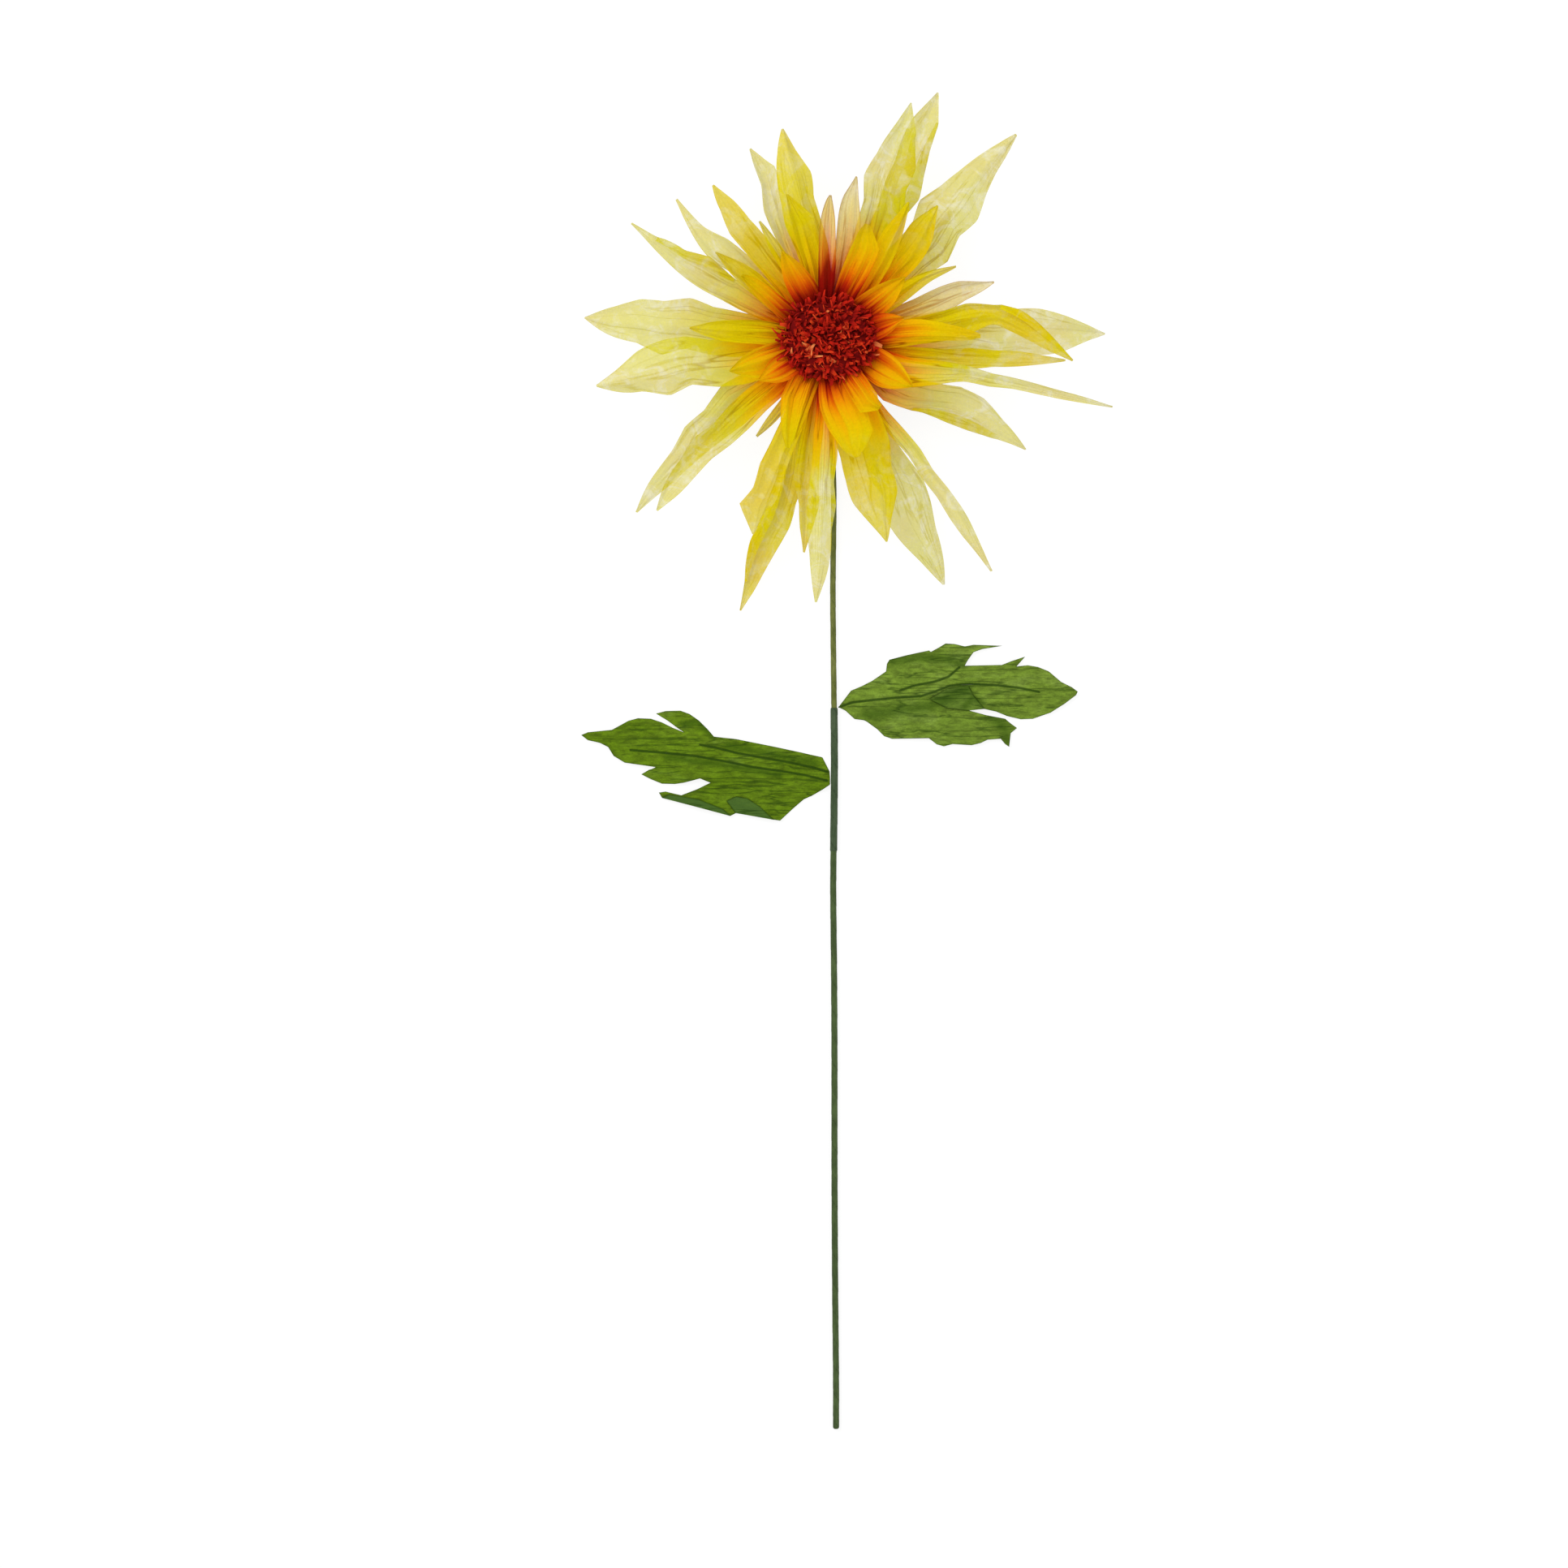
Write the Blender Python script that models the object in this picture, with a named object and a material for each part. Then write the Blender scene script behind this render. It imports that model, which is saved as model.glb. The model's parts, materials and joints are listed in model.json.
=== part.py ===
"""A paper flower: 47 cut petals in five rounds on a rolled fringe, and a taped wire stem with two leaves.

It lies face up, as it rests on a table: the head looks up at +Z and the stem runs towards -Y. Lengths in
millimetres are turned to metres where they are used. The head's centre is the zero of every outline, and the
part's own origin is the middle of the underside of its box.
"""

import math
import random

import bmesh
import bpy
from mathutils import Matrix, Vector

MM = 0.001

# Paper, wire and the room left between pieces that touch
PETAL_SHEET = 0.35 * MM
LEAF_SHEET = 0.40 * MM
TOUCH_GAP = 0.30 * MM
STEM_WIRE_RADIUS = 0.90 * MM
LEAF_WIRE_RADIUS = 0.45 * MM
LEAF_WIRE_SIDES = 6

# The stem: outer radii of its three wraps, and where each one ends along the stem
LOWER_WRAP_RADIUS = 2.15 * MM
JOINT_WRAP_RADIUS = 2.45 * MM
UPPER_WRAP_RADIUS = 1.80 * MM
STEM_END_Y = -674.0 * MM
JOINT_START_Y = -316.0 * MM
JOINT_END_Y = -226.5 * MM
STEM_END_CHAMFER = 0.75 * MM
STEM_END_WALL = 1.20 * MM
STEM_BEND_RADIUS = 14.0 * MM
STEM_SIDES = 8
BEND_STEPS = 5
WRAP_STEP_EASE = 12.0 * MM

# Sideways wander of the stem: x for a few values of y, from the cut end to where the head hides it
STEM_WANDER_MM = (
    (-674, 5.2), (-640, 5.2), (-590, 4.7), (-520, 4.3), (-440, 4.25), (-391, 4.0), (-341, 3.5),
    (-316, 3.7), (-266, 4.2), (-226.5, 4.0), (-181, 3.5), (-151, 3.3), (-91, 3.75), (-45, 1.8),
)

# The rolled fringe: a roll that carries the petals, and a flared, cut top
ROLL_RADIUS = 13.0 * MM
ROLL_BASE_Z = 21.5 * MM
ROLL_HEIGHT = 15.0 * MM
FRINGE_HALF_WIDTH = 29.5 * MM
FRINGE_HALF_DEPTH = 25.0 * MM
FRINGE_FLARE_HEIGHT = 13.0 * MM
FRINGE_DOME_HEIGHT = 2.2 * MM
TUFT_LENGTH = 4.2 * MM
TUFT_LEAN = 1.4 * MM
TUFT_GAP = 0.55 * MM
FRINGE_COLUMNS = 20
FRINGE_RINGS = (1.0, 0.80, 0.58, 0.37, 0.17)
FRINGE_RIM = 0.7 * MM
FRINGE_STAGGER = 0.4
TUFT_RISE = (0.35, 1.0)
TUFT_TAPER = (0.60, 0.80)
TUFT_TWIST = 0.35
TUFT_SLOPE = 0.25
WIRE_IN_ROLL = 11.5 * MM

# The wrap and the binding that hold the petals' roots
HEAD_WRAP_HEIGHT = 4.4 * MM
HEAD_WRAP_RIM = 0.7 * MM
HEAD_WRAP_NECK = 1.5 * MM
HEAD_WRAP_WAIST = (0.5, 0.45)
HEAD_WRAP_SIDES = 20
BINDING_RADIUS = 0.45 * MM
BINDING_Z = 0.95 * MM
BINDING_SIDES = 6
BINDING_STEPS = 24

# How the petals leave the roll: the height of the first round, the step to the next, and a root's half width
FIRST_ROUND_Z = 2.5 * MM
ROUND_STEP = 2.5 * MM
ROOT_HALF_WIDTH = 1.1 * MM
TIP_HALF_WIDTH = 0.60 * MM
FOLD_RISE = 1.0 * MM

# Each round from the back: its slope at the roll, and its droop for each millimetre squared
ROUNDS = {
    "back": (0.10, 0.0015),
    "long": (0.22, 0.00115),
    "middle": (0.38, 0.0013),
    "short": (0.55, 0.0018),
    "inner": (0.70, 0.0030),
}

# Height of a crease over the sheet's own level: a share of the step at the roll, more as the rounds part, and
# never more than a share of the petal's width there
CREASE_AT_ROLL = 0.17
CREASE_GROWTH = 0.034
CREASE_MOST = 3.6 * MM
CREASE_OF_WIDTH = 0.20

# The creases sway along a petal: how much, how often, and how far the next petal's sway is turned
CREASE_SWAY = 0.18
CREASE_SWAYS = 5.0
NEXT_SWAY = 1.7

# A row of a petal every so many millimetres, and five points across it
ROW_PITCH = 19.0 * MM
FEWEST_ROWS = 4
PLEATED_ROOT = (0.9, -0.9, 0.9, -0.9, 0.9)
PLEATS_END = 0.385
CREASES = {
    "ridge": (-0.8, 0.1, 1.0, 0.0, -0.7),
    "valley": (0.9, 0.0, -1.0, 0.2, 0.8),
    "pleat": (0.6, -0.8, 0.8, -0.7, 0.5),
    "curl": (1.0, 0.0, -0.6, -0.4, 0.3),
    "twist": (-0.9, -0.3, 0.2, 0.6, 1.0),
}

# The paints: real paper colours as sRGB, roughness
PAINTS = {
    "pale_petal_paper": ((0.86, 0.84, 0.50), 0.85),
    "yellow_petal_paper": ((0.84, 0.75, 0.10), 0.85),
    "orange_petal_paper": ((0.85, 0.53, 0.04), 0.85),
    "rose_petal_paper": ((0.87, 0.75, 0.55), 0.85),
    "red_fringe_paper": ((0.72, 0.12, 0.04), 0.85),
    "green_leaf_paper": ((0.33, 0.47, 0.07), 0.80),
    "green_stem_tape": ((0.31, 0.39, 0.22), 0.75),
    "olive_stem_tape": ((0.43, 0.45, 0.27), 0.75),
    "stem_wire": ((0.45, 0.45, 0.44), 0.40),
    "green_leaf_wire": ((0.20, 0.27, 0.10), 0.60),
    "binding_thread": ((0.30, 0.36, 0.18), 0.80),
}

# Each petal: round, paint, crease, tip, then the points of its counter-clockwise and clockwise edges from
# the roll outwards, all in millimetres from the head's centre
PETALS = (
    ("back", "pale_petal_paper", "ridge", (116.8, 128.2),
     ((22, 28), (38, 55), (50.7, 73.6), (66.2, 95.5), (78, 105), (92.3, 115.7), (102.9, 122.2)),
     ((30, 18), (50, 30), (68.5, 44), (84, 65.3), (92.3, 77.2), (99.4, 95), (106.5, 108), (112.4, 118.7))),
    ("back", "pale_petal_paper", "valley", (68.3, 154),
     ((14, 30), (24, 62), (34, 92), (43, 118), (51.7, 137.1)),
     ((20, 28), (38, 58), (50.5, 80), (55.5, 90.2), (61.4, 106.8), (69.4, 122.2), (69.9, 141))),
    ("back", "pale_petal_paper", "curl", (-47.9, 118.4),
     ((-14, 28), (-27, 52), (-36.2, 71), (-41, 84.8), (-43.1, 103.8), (-45.2, 110.2)),
     ((-8, 30), (-18, 58), (-24, 80), (-29, 98), (-34.1, 112.3), (-41.5, 116.3))),
    ("back", "pale_petal_paper", "ridge", (-93.4, 87.1),
     ((-26, 18), (-50, 33), (-70, 47), (-79.6, 55.2), (-87, 72.1), (-89.7, 79.5)),
     ((-20, 24), (-38, 42), (-57.4, 58.9), (-71.2, 67.3), (-77.5, 68.9), (-88, 81.6))),
    ("back", "pale_petal_paper", "pleat", (-150.3, 14.4),
     ((-30, -2), (-60, -8), (-90, -9), (-113.2, -5.5), (-130.4, -0.9), (-138.8, 2.8), (-145.2, 7.6)),
     ((-30, 7), (-54.2, 17.1), (-75.4, 24.5), (-86, 25.9), (-96.5, 24.5), (-128.3, 23.4), (-146.3, 19.2))),
    ("back", "pale_petal_paper", "twist", (-118.3, -105.8),
     ((-24, -22), (-50, -48), (-80, -75), (-105.4, -94.2), (-114.3, -100.1)),
     ((-28, -14), (-45, -22), (-67.5, -28.4), (-82.9, -49.1), (-104.3, -77.6), (-115.5, -91.8))),
    ("back", "yellow_petal_paper", "valley", (-54.1, -166.5),
     ((-8, -31), (-13, -70), (-19.1, -106.6), (-28.4, -123.8), (-40.2, -144), (-46.1, -155.9)),
     ((-14, -29), (-27, -70), (-38, -100), (-47.9, -121.5), (-49.7, -133.3), (-51.5, -151.1))),
    ("back", "pale_petal_paper", "ridge", (71.9, -150.5),
     ((22, -30), (38.9, -61), (46, -66.9), (60.2, -89.4), (68.5, -114.3), (74.5, -136.9)),
     ((14, -32), (24, -70), (38.9, -116.7), (54.3, -132.1), (68.5, -146.4))),
    ("back", "pale_petal_paper", "pleat", (122.3, -67.3),
     ((30, -16), (50, -24), (66, -29), (82.8, -27.8), (99.4, -38.4), (116, -55.6)),
     ((26, -28), (34.1, -39.6), (48.4, -44.4), (78, -52.7), (104.1, -61), (113.6, -64.5))),
    ("back", "pale_petal_paper", "valley", (171.7, 4.8),
     ((32, 6), (60, 13), (90, 17.5), (118.3, 19.6), (143.3, 15.5), (159.9, 10.2)),
     ((32, -3), (60, -6), (90, -9), (120, -10.5), (139, -10.5), (162.2, 0.1))),
    ("long", "rose_petal_paper", "valley", (102.3, 34.8),
     ((30, 12), (44, 19.5), (56.1, 26.8), (70.9, 33.3), (84, 36), (94.6, 36.6)),
     ((32, 6), (50, 10), (70, 15), (84, 21.4), (92.3, 27.4), (99.4, 31.5))),
    ("long", "orange_petal_paper", "pleat", (67.6, 81.9),
     ((22, 30), (38, 54), (50.1, 71.2), (54.3, 75.4), (61.4, 79.3)),
     ((32, 24), (47.2, 36.8), (56.7, 46.3), (62.6, 53.4), (65, 60.6), (67.1, 71.2))),
    ("long", "pale_petal_paper", "curl", (51, 145.4),
     ((8, 30), (16, 55), (19.9, 70), (20.5, 92.6), (29.4, 117.5), (35.9, 127.6), (47.2, 137.7)),
     ((22, 45), (38, 66), (48.4, 81.9), (53.1, 108), (54.9, 127), (53.2, 136.5))),
    ("long", "yellow_petal_paper", "ridge", (-27.8, 129.2),
     ((-7, 30), (-15, 55), (-24.6, 70), (-35.2, 102.7), (-32.5, 111.2), (-31.5, 121.8)),
     ((-1, 30), (-2, 55), (-5, 79.5), (-9.8, 102.7), (-15.1, 110.2), (-21.4, 119.7))),
    ("long", "yellow_petal_paper", "twist", (-70.6, 94.5),
     ((-22, 22), (-38, 37), (-50, 50.9), (-63.7, 72.1), (-69, 79.5), (-70.1, 86.9)),
     ((-16, 28), (-30, 48), (-42.1, 66.8), (-47.9, 74.2), (-58.5, 86.9), (-63.2, 92.4))),
    ("long", "pale_petal_paper", "valley", (-120.9, 71),
     ((-30, 8), (-52, 17), (-72.2, 24.5), (-86, 35.1), (-100.8, 48.8), (-115.6, 63.6)),
     ((-27, 15), (-50, 31), (-66, 45), (-84.9, 56.2), (-105, 62), (-114.5, 67.8))),
    ("long", "pale_petal_paper", "ridge", (-142.4, -29),
     ((-28, -14), (-41.4, -22.1), (-69.9, -28.4), (-100.7, -33.7), (-124.4, -35.1), (-138.7, -31.9)),
     ((-32, 0), (-60, 1.5), (-93.6, 1.6), (-109, -2.3), (-120.9, -11.2), (-137.5, -23))),
    ("long", "pale_petal_paper", "curl", (-105.2, -105.7),
     ((-22, -24.5), (-34.3, -39.3), (-58, -63.3), (-77, -80.5), (-88.2, -91.8), (-98.3, -101.3)),
     ((-26, -18), (-50.9, -32.5), (-67.5, -46.8), (-84, -64), (-98, -80), (-105.4, -94.8))),
    ("long", "yellow_petal_paper", "ridge", (-43.8, -60.1),
     ((-15, -29), (-26, -45), (-34.9, -56.5)),
     ((-21, -27.5), (-30, -39.5), (-35, -45.5), (-41.2, -52.5))),
    ("long", "yellow_petal_paper", "valley", (-14.7, -131.5),
     ((-3, -31), (-4, -70), (-5, -100), (-9, -120)),
     ((-9, -30), (-20, -68.1), (-20.3, -101.3), (-15.9, -115.5), (-15.2, -124))),
    ("long", "yellow_petal_paper", "pleat", (36.2, -125),
     ((18, -31), (34.8, -58.6), (43, -83.5), (43, -97.7), (39.5, -117.3)),
     ((3, -32), (4, -60), (5.7, -84), (12.8, -95.4), (21.1, -108.4), (30.6, -119))),
    ("long", "pale_petal_paper", "ridge", (100.8, -143),
     ((26, -33), (33, -43.2), (48.4, -57.4), (68.5, -85.9), (85.1, -107.2), (87.5, -115.5), (95.8, -130.9)),
     ((23, -34.5), (37.7, -57.4), (51.9, -74), (65, -95.4), (82.8, -122.6), (94.6, -134.5))),
    ("long", "yellow_petal_paper", "twist", (146.2, -13.2),
     ((30, -4), (59, -5), (95.8, -6.4), (131.4, -9.4)),
     ((30, -10), (50, -14), (75, -17.5), (93.4, -19.2), (113.6, -17.7), (131.4, -15.3))),
    ("middle", "yellow_petal_paper", "valley", (78.6, 43.7),
     ((28, 22), (42.4, 32.1), (54.3, 39.2), (63.8, 43.7), (68.5, 44.9)),
     ((32, 12), (46, 19), (56.1, 26.8), (62.6, 35.1), (70.9, 40.4))),
    ("middle", "orange_petal_paper", "ridge", (49.5, 83),
     ((14, 27), (28, 52), (38, 73), (44, 80)),
     ((26, 24), (38, 44), (47, 62), (50.1, 71.2))),
    ("middle", "rose_petal_paper", "pleat", (17.5, 98.8),
     ((2, 30), (3.5, 50), (4.5, 65.3), (7.5, 83.1), (10.4, 91.4)),
     ((9, 30), (15, 50), (19.3, 64.1), (19.9, 78.4), (19.3, 91.4))),
    ("middle", "yellow_petal_paper", "valley", (-25, 88),
     ((-10, 30), (-18, 55), (-24.6, 70), (-28, 82)),
     ((-2, 30), (-4, 55), (-8.7, 74.2), (-15.1, 81.6), (-22.5, 86.9))),
    ("middle", "yellow_petal_paper", "ridge", (-42.1, 71.5),
     ((-17, 25), (-30, 45), (-40, 62)),
     ((-12, 28), (-22, 48), (-29.9, 60.4), (-38.4, 70))),
    ("middle", "yellow_petal_paper", "curl", (-69, 52.5),
     ((-27, 12), (-48, 28), (-63, 42)),
     ((-22, 20), (-40, 38), (-56, 50), (-63, 53))),
    ("middle", "yellow_petal_paper", "valley", (-85, 6),
     ((-30, -4), (-55, -5), (-75, -2)),
     ((-30, 9), (-50, 11), (-70, 10))),
    ("middle", "yellow_petal_paper", "twist", (-45.9, -120.9),
     ((-8, -30), (-20, -68.1), (-26, -81.1), (-31.9, -100.1), (-41.4, -113.2)),
     ((-16, -28), (-34.3, -57.4), (-39, -78.8), (-45.5, -91.8), (-53.6, -101.9), (-50.3, -117.9))),
    ("middle", "pale_petal_paper", "ridge", (-7.4, -162.6),
     ((2, -31), (4, -60), (4.5, -84.7), (4, -115.5), (1.3, -139.3), (-4.6, -159.4)),
     ((-4, -31), (-9, -60), (-12, -95), (-12.9, -122.6), (-12.9, -135.7), (-10.6, -153.5))),
    ("middle", "pale_petal_paper", "valley", (174.4, -42.8),
     ((30, -9), (50, -12), (75.6, -15.3), (110, -23.6), (134.9, -31.3), (153.9, -36.1), (170.5, -39.6)),
     ((30, -20), (42.4, -29.5), (66.2, -29), (78, -26.6), (108.9, -31.3), (149.2, -39.6), (169.3, -43.8))),
    ("middle", "yellow_petal_paper", "pleat", (150, -14.4),
     ((32, 8), (50, 13), (84, 21.4), (101.7, 20.8), (113.6, 18.5), (129, 11.9), (143, -5)),
     ((32, -3.5), (59, -3.5), (78, -1.1), (93.4, 7.2), (107, 7.8), (118.3, 0.7), (139.7, -10.6))),
    ("short", "orange_petal_paper", "ridge", (93.4, 0.7),
     ((30, 9), (50, 12.5), (66, 10.5), (80.4, 4.8)),
     ((30, -3), (45, -4.4), (59, -3.5), (78, -1.1))),
    ("short", "orange_petal_paper", "valley", (24.4, 69),
     ((4, 27), (11, 45), (19.3, 65.8)),
     ((14, 22), (26, 38), (30.8, 45.4), (31.5, 56.9), (29, 64))),
    ("short", "rose_petal_paper", "pleat", (1.3, 86.7),
     ((-5, 30), (-7, 55), (-5.5, 70), (-3.8, 78.4)),
     ((3, 30), (4.5, 50), (4.3, 64.1), (2.7, 74.8))),
    ("short", "orange_petal_paper", "curl", (-53, 38),
     ((-26, 8), (-40, 20), (-50, 30)),
     ((-22, 20), (-38, 33), (-47, 40))),
    ("short", "yellow_petal_paper", "valley", (-25, -68),
     ((-10.7, -26.9), (-13.2, -35.8), (-18.3, -48.6), (-23.4, -60)),
     ((-24.7, -23.1), (-29.8, -32), (-30.4, -44.8), (-27.2, -62.6))),
    ("short", "yellow_petal_paper", "ridge", (16.9, -74),
     ((12, -28), (22, -42), (28.3, -51.2), (24.4, -60.1), (21.2, -67.7)),
     ((-6.2, -25), (-7.4, -39), (-4.3, -48.6), (6.6, -63.9))),
    ("inner", "yellow_petal_paper", "pleat", (31.7, -44),
     ((15.5, -19.3), (20.6, -20.5), (27, -29.5), (34, -37.1)),
     ((13, -32), (16.8, -43.5), (21.9, -46.7), (28.3, -48))),
)

# Short petals that the others mostly hide: round, paint, crease, aim in degrees, reach, half width
SHORT_PETALS = (
    ("short", "orange_petal_paper", "valley", 38, 60, 9.0),
    ("short", "orange_petal_paper", "ridge", 118, 60, 10.0),
    ("short", "orange_petal_paper", "pleat", 199, 64, 11.0),
    ("short", "orange_petal_paper", "curl", 330, 60, 11.0),
    ("inner", "orange_petal_paper", "ridge", 14, 48, 9.0),
    ("inner", "orange_petal_paper", "valley", 212, 50, 10.0),
)

# A short petal's half width as a share of its widest, at three shares of its reach
LENS_PROFILE = ((0.40, 0.72), (0.62, 1.0), (0.82, 0.74))

# Petals with one edge folded over: the edge, the widest flap in millimetres, and the shares of the length
# where the flap begins and ends
FOLDS = {
    "back_petal_02": ("clockwise", 8.0, 0.35, 0.95),
    "back_petal_07": ("clockwise", 8.0, 0.30, 0.95),
    "back_petal_09": ("clockwise", 8.0, 0.30, 0.95),
    "long_petal_03": ("clockwise", 8.0, 0.30, 0.95),
    "long_petal_06": ("clockwise", 8.0, 0.40, 0.95),
    "middle_petal_11": ("counter_clockwise", 9.0, 0.60, 1.0),
}
FLAP_OF_WIDTH = 0.42
FLAP_END_STEP = 0.35

# The leaves' outlines, in millimetres from the head's centre: the left one clockwise from its tip, the right
# one clockwise from its root
LEFT_LEAF_OUTLINE = (
    (-152.6, -243.7), (-148.5, -242), (-133.6, -240.5), (-123.2, -234.8), (-117.5, -233.3), (-109.5, -233.6),
    (-102.6, -235.9), (-95.7, -239.3), (-88.9, -242), (-92.2, -239.9), (-99.2, -234.7), (-106.3, -230.4),
    (-100.3, -228.8), (-91.1, -228.6), (-85.4, -230.7), (-79.6, -234.8), (-74.5, -239.9), (-70.4, -244.7),
    (-56.7, -246.2), (-33.7, -250.8), (-16.5, -254.5), (-3.2, -257.5), (1.2, -266.2), (1.5, -270.3),
    (1.5, -274.4), (-2.7, -277.2), (-9.6, -281.2), (-14.8, -283.5), (-22.2, -289.9), (-29.4, -296.7),
    (-33.7, -296.2),
    (-56.7, -292.1), (-60.3, -293.9), (-79.6, -288.7), (-102.6, -282.7), (-104.5, -279.3), (-100.3, -278.7),
    (-90.6, -281), (-80.8, -277.2), (-72.6, -273.2), (-79, -270.6), (-88.9, -273.2), (-94.5, -274),
    (-102.6, -273.8), (-109.5, -271), (-115.4, -268), (-110.7, -265.2), (-105.1, -263.7), (-125.6, -260.8),
    (-132.5, -256.6), (-135.9, -251.1), (-141, -248.5), (-148.5, -246.8),
)
RIGHT_LEAF_OUTLINE = (
    (6.7, -226.4), (14.5, -216.2), (21, -213.5), (27.5, -210.2), (36.2, -204.3), (36.8, -199.5), (38.4, -197),
    (49.2, -194.2), (62.8, -191.3), (63.9, -192.2), (68.7, -189.6), (73, -187), (78.5, -187.3), (85, -188.8),
    (90.4, -187.8), (108.3, -188.4), (95.8, -190.5), (90.4, -192.4), (86.6, -197.8), (85, -200.8),
    (107.8, -200.3), (114.2, -197.8), (122.4, -195.1), (117, -201.2), (124, -200.5), (130.5, -201.6),
    (137, -204.3), (144.6, -210.8), (151.1, -214), (154.9, -216.8), (153.8, -219), (146.8, -224.3),
    (138.1, -229.8), (127.2, -233.6), (119.6, -233.9), (111, -231.9), (104.5, -229.2), (96.9, -227.6),
    (87.7, -228.5), (98.5, -231.4), (110, -233.6), (113.1, -236.3), (117.3, -239.3), (113.4, -242.6),
    (112.4, -251), (109.9, -249.3), (107.2, -246), (99.1, -246.6), (94.7, -248.7), (89.3, -250),
    (77.4, -249.3), (72, -250.7), (67.6, -249.5), (62.7, -245.7), (40, -246), (35.1, -244.4), (30.8, -240.1),
    (23.2, -234.6), (16.7, -233.8), (11.2, -228.7),
)

# The folded midrib of each leaf, from the root, and where its wire stops
LEFT_RIB_MM = (
    (1.5, -274), (-22.2, -266.9), (-45.2, -263.5), (-68, -258.9), (-91, -255.4), (-122, -253.5), (-152, -244),
)
RIGHT_RIB_MM = (
    (6.7, -226.5), (27.5, -222), (54.6, -220), (64.4, -218.4), (73, -214), (87, -211.9), (105.6, -212.8),
    (119.6, -214.4), (131, -216.5), (154.9, -216.8),
)
LEFT_WIRE_STOP_MM = -118.0
RIGHT_WIRE_STOP_MM = 131.0

# The leaves' heights over the table, and the cell of their mesh
RIB_ROOT_Z = 2.45 * MM
RIB_CREST_Z = 5.0 * MM
LEAF_LOWEST_Z = 0.55 * MM
LEAF_FALL = 0.11
LEAF_CELL = 13.0 * MM
LEAF_BAND = 11.0 * MM
LEAF_RIPPLE = 0.8 * MM
LEAF_RIPPLE_LENGTH = 46.0 * MM
LOBE_LIFT = 0.16
LOBE_START = 24.0 * MM
LEAF_FOLD_RISE = 1.6 * MM
LEAF_BANDS = (0, 1, -1, 2, -2)

# The height of a midrib's crest at shares of its length, as shares of its highest, past the root
CREST_PROFILE = ((0.35, 1.0), (0.75, 0.8), (1.0, 0.5))

# Where a leaf's paper is folded back: the points of its outline along the fold, then the flap's own
LEFT_LEAF_FLAPS = (
    (((-33.7, -296.2), (-56.7, -292.1)),
     ((-62.5, -284.5), (-56.7, -281.9), (-49.8, -283.0), (-41.8, -288.2))),
    (((-60.3, -293.9), (-79.6, -288.7), (-102.6, -282.7)),
     ((-98.0, -280.6), (-80.0, -283.6), (-65.0, -289.6))),
)
RIGHT_LEAF_FLAPS = (
    (((96.9, -227.6), (87.7, -228.5)), ((74.0, -227.0), (63.0, -221.5), (74.0, -215.2), (87.0, -213.0),
                                        (90.0, -219.0))),
)


def clear_scene():
    for thing in list(bpy.data.objects):
        bpy.data.objects.remove(thing, do_unlink=True)


def paint(name):
    """The named paper, tape or wire as a plain material, made once."""
    found = bpy.data.materials.get(name)
    if found:
        return found
    (red, green, blue), roughness = PAINTS[name]
    material = bpy.data.materials.new(name)
    material.use_nodes = True
    shader = material.node_tree.nodes["Principled BSDF"]
    shader.inputs["Base Color"].default_value = [c ** 2.2 for c in (red, green, blue)] + [1.0]
    shader.inputs["Roughness"].default_value = roughness
    shader.inputs["Metallic"].default_value = 1.0 if name == "stem_wire" else 0.0
    return material


def finished(name, mesh, paint_name, parent, smooth=True):
    """A finished mesh as a named object of the flower."""
    made = bpy.data.meshes.new(name)
    bmesh.ops.recalc_face_normals(mesh, faces=mesh.faces[:])
    mesh.to_mesh(made)
    mesh.free()
    if smooth:
        made.shade_smooth()
        made.set_sharp_from_angle(angle=math.radians(35))
    made.materials.append(paint(paint_name))
    piece = bpy.data.objects.new(name, made)
    bpy.context.collection.objects.link(piece)
    piece.parent = parent
    return piece


def add_thickness(piece, thickness):
    solid = piece.modifiers.new("paper", "SOLIDIFY")
    solid.thickness = thickness
    solid.offset = 0.0
    solid.use_rim = True
    solid.use_even_offset = False


def blend(first, second, share):
    return first + (second - first) * share


def read_along(points, where):
    """The value at a place on a line of (place, value) points: straight between them, level past its ends."""
    ordered = sorted(points)
    for (before, low), (after, high) in zip(ordered, ordered[1:]):
        if where <= after:
            share = (where - before) / (after - before)
            return blend(low, high, min(max(share, 0.0), 1.0))
    return ordered[-1][1]


def even_points(line, count):
    """So many points, evenly spaced by length, on a line of points, its ends included."""
    lengths = [0.0]
    for a, b in zip(line, line[1:]):
        lengths.append(lengths[-1] + (b - a).length)
    made = []
    for step in range(count):
        goal = lengths[-1] * step / (count - 1)
        index = max(i for i in range(len(line) - 1) if lengths[i] <= goal + 1e-12)
        share = (goal - lengths[index]) / (lengths[index + 1] - lengths[index])
        made.append(line[index].lerp(line[index + 1], share))
    return made


def around(azimuth, radius):
    return Vector((radius * math.cos(azimuth), radius * math.sin(azimuth)))


# The stem: one centre line carries the wire and the three wraps
def stem_x(y):
    return read_along([(a * MM, b * MM) for a, b in STEM_WANDER_MM] + [(-STEM_BEND_RADIUS, 0.0)], y)


def stem_level(y):
    """Height of the stem's centre: each wrap lies on the table, with the wire level eased between them."""
    return read_along(
        [
            (STEM_END_Y, LOWER_WRAP_RADIUS),
            (JOINT_START_Y - WRAP_STEP_EASE, LOWER_WRAP_RADIUS),
            (JOINT_START_Y, JOINT_WRAP_RADIUS),
            (JOINT_END_Y, JOINT_WRAP_RADIUS),
            (JOINT_END_Y + 2 * WRAP_STEP_EASE, JOINT_WRAP_RADIUS),
        ],
        y,
    )


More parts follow.
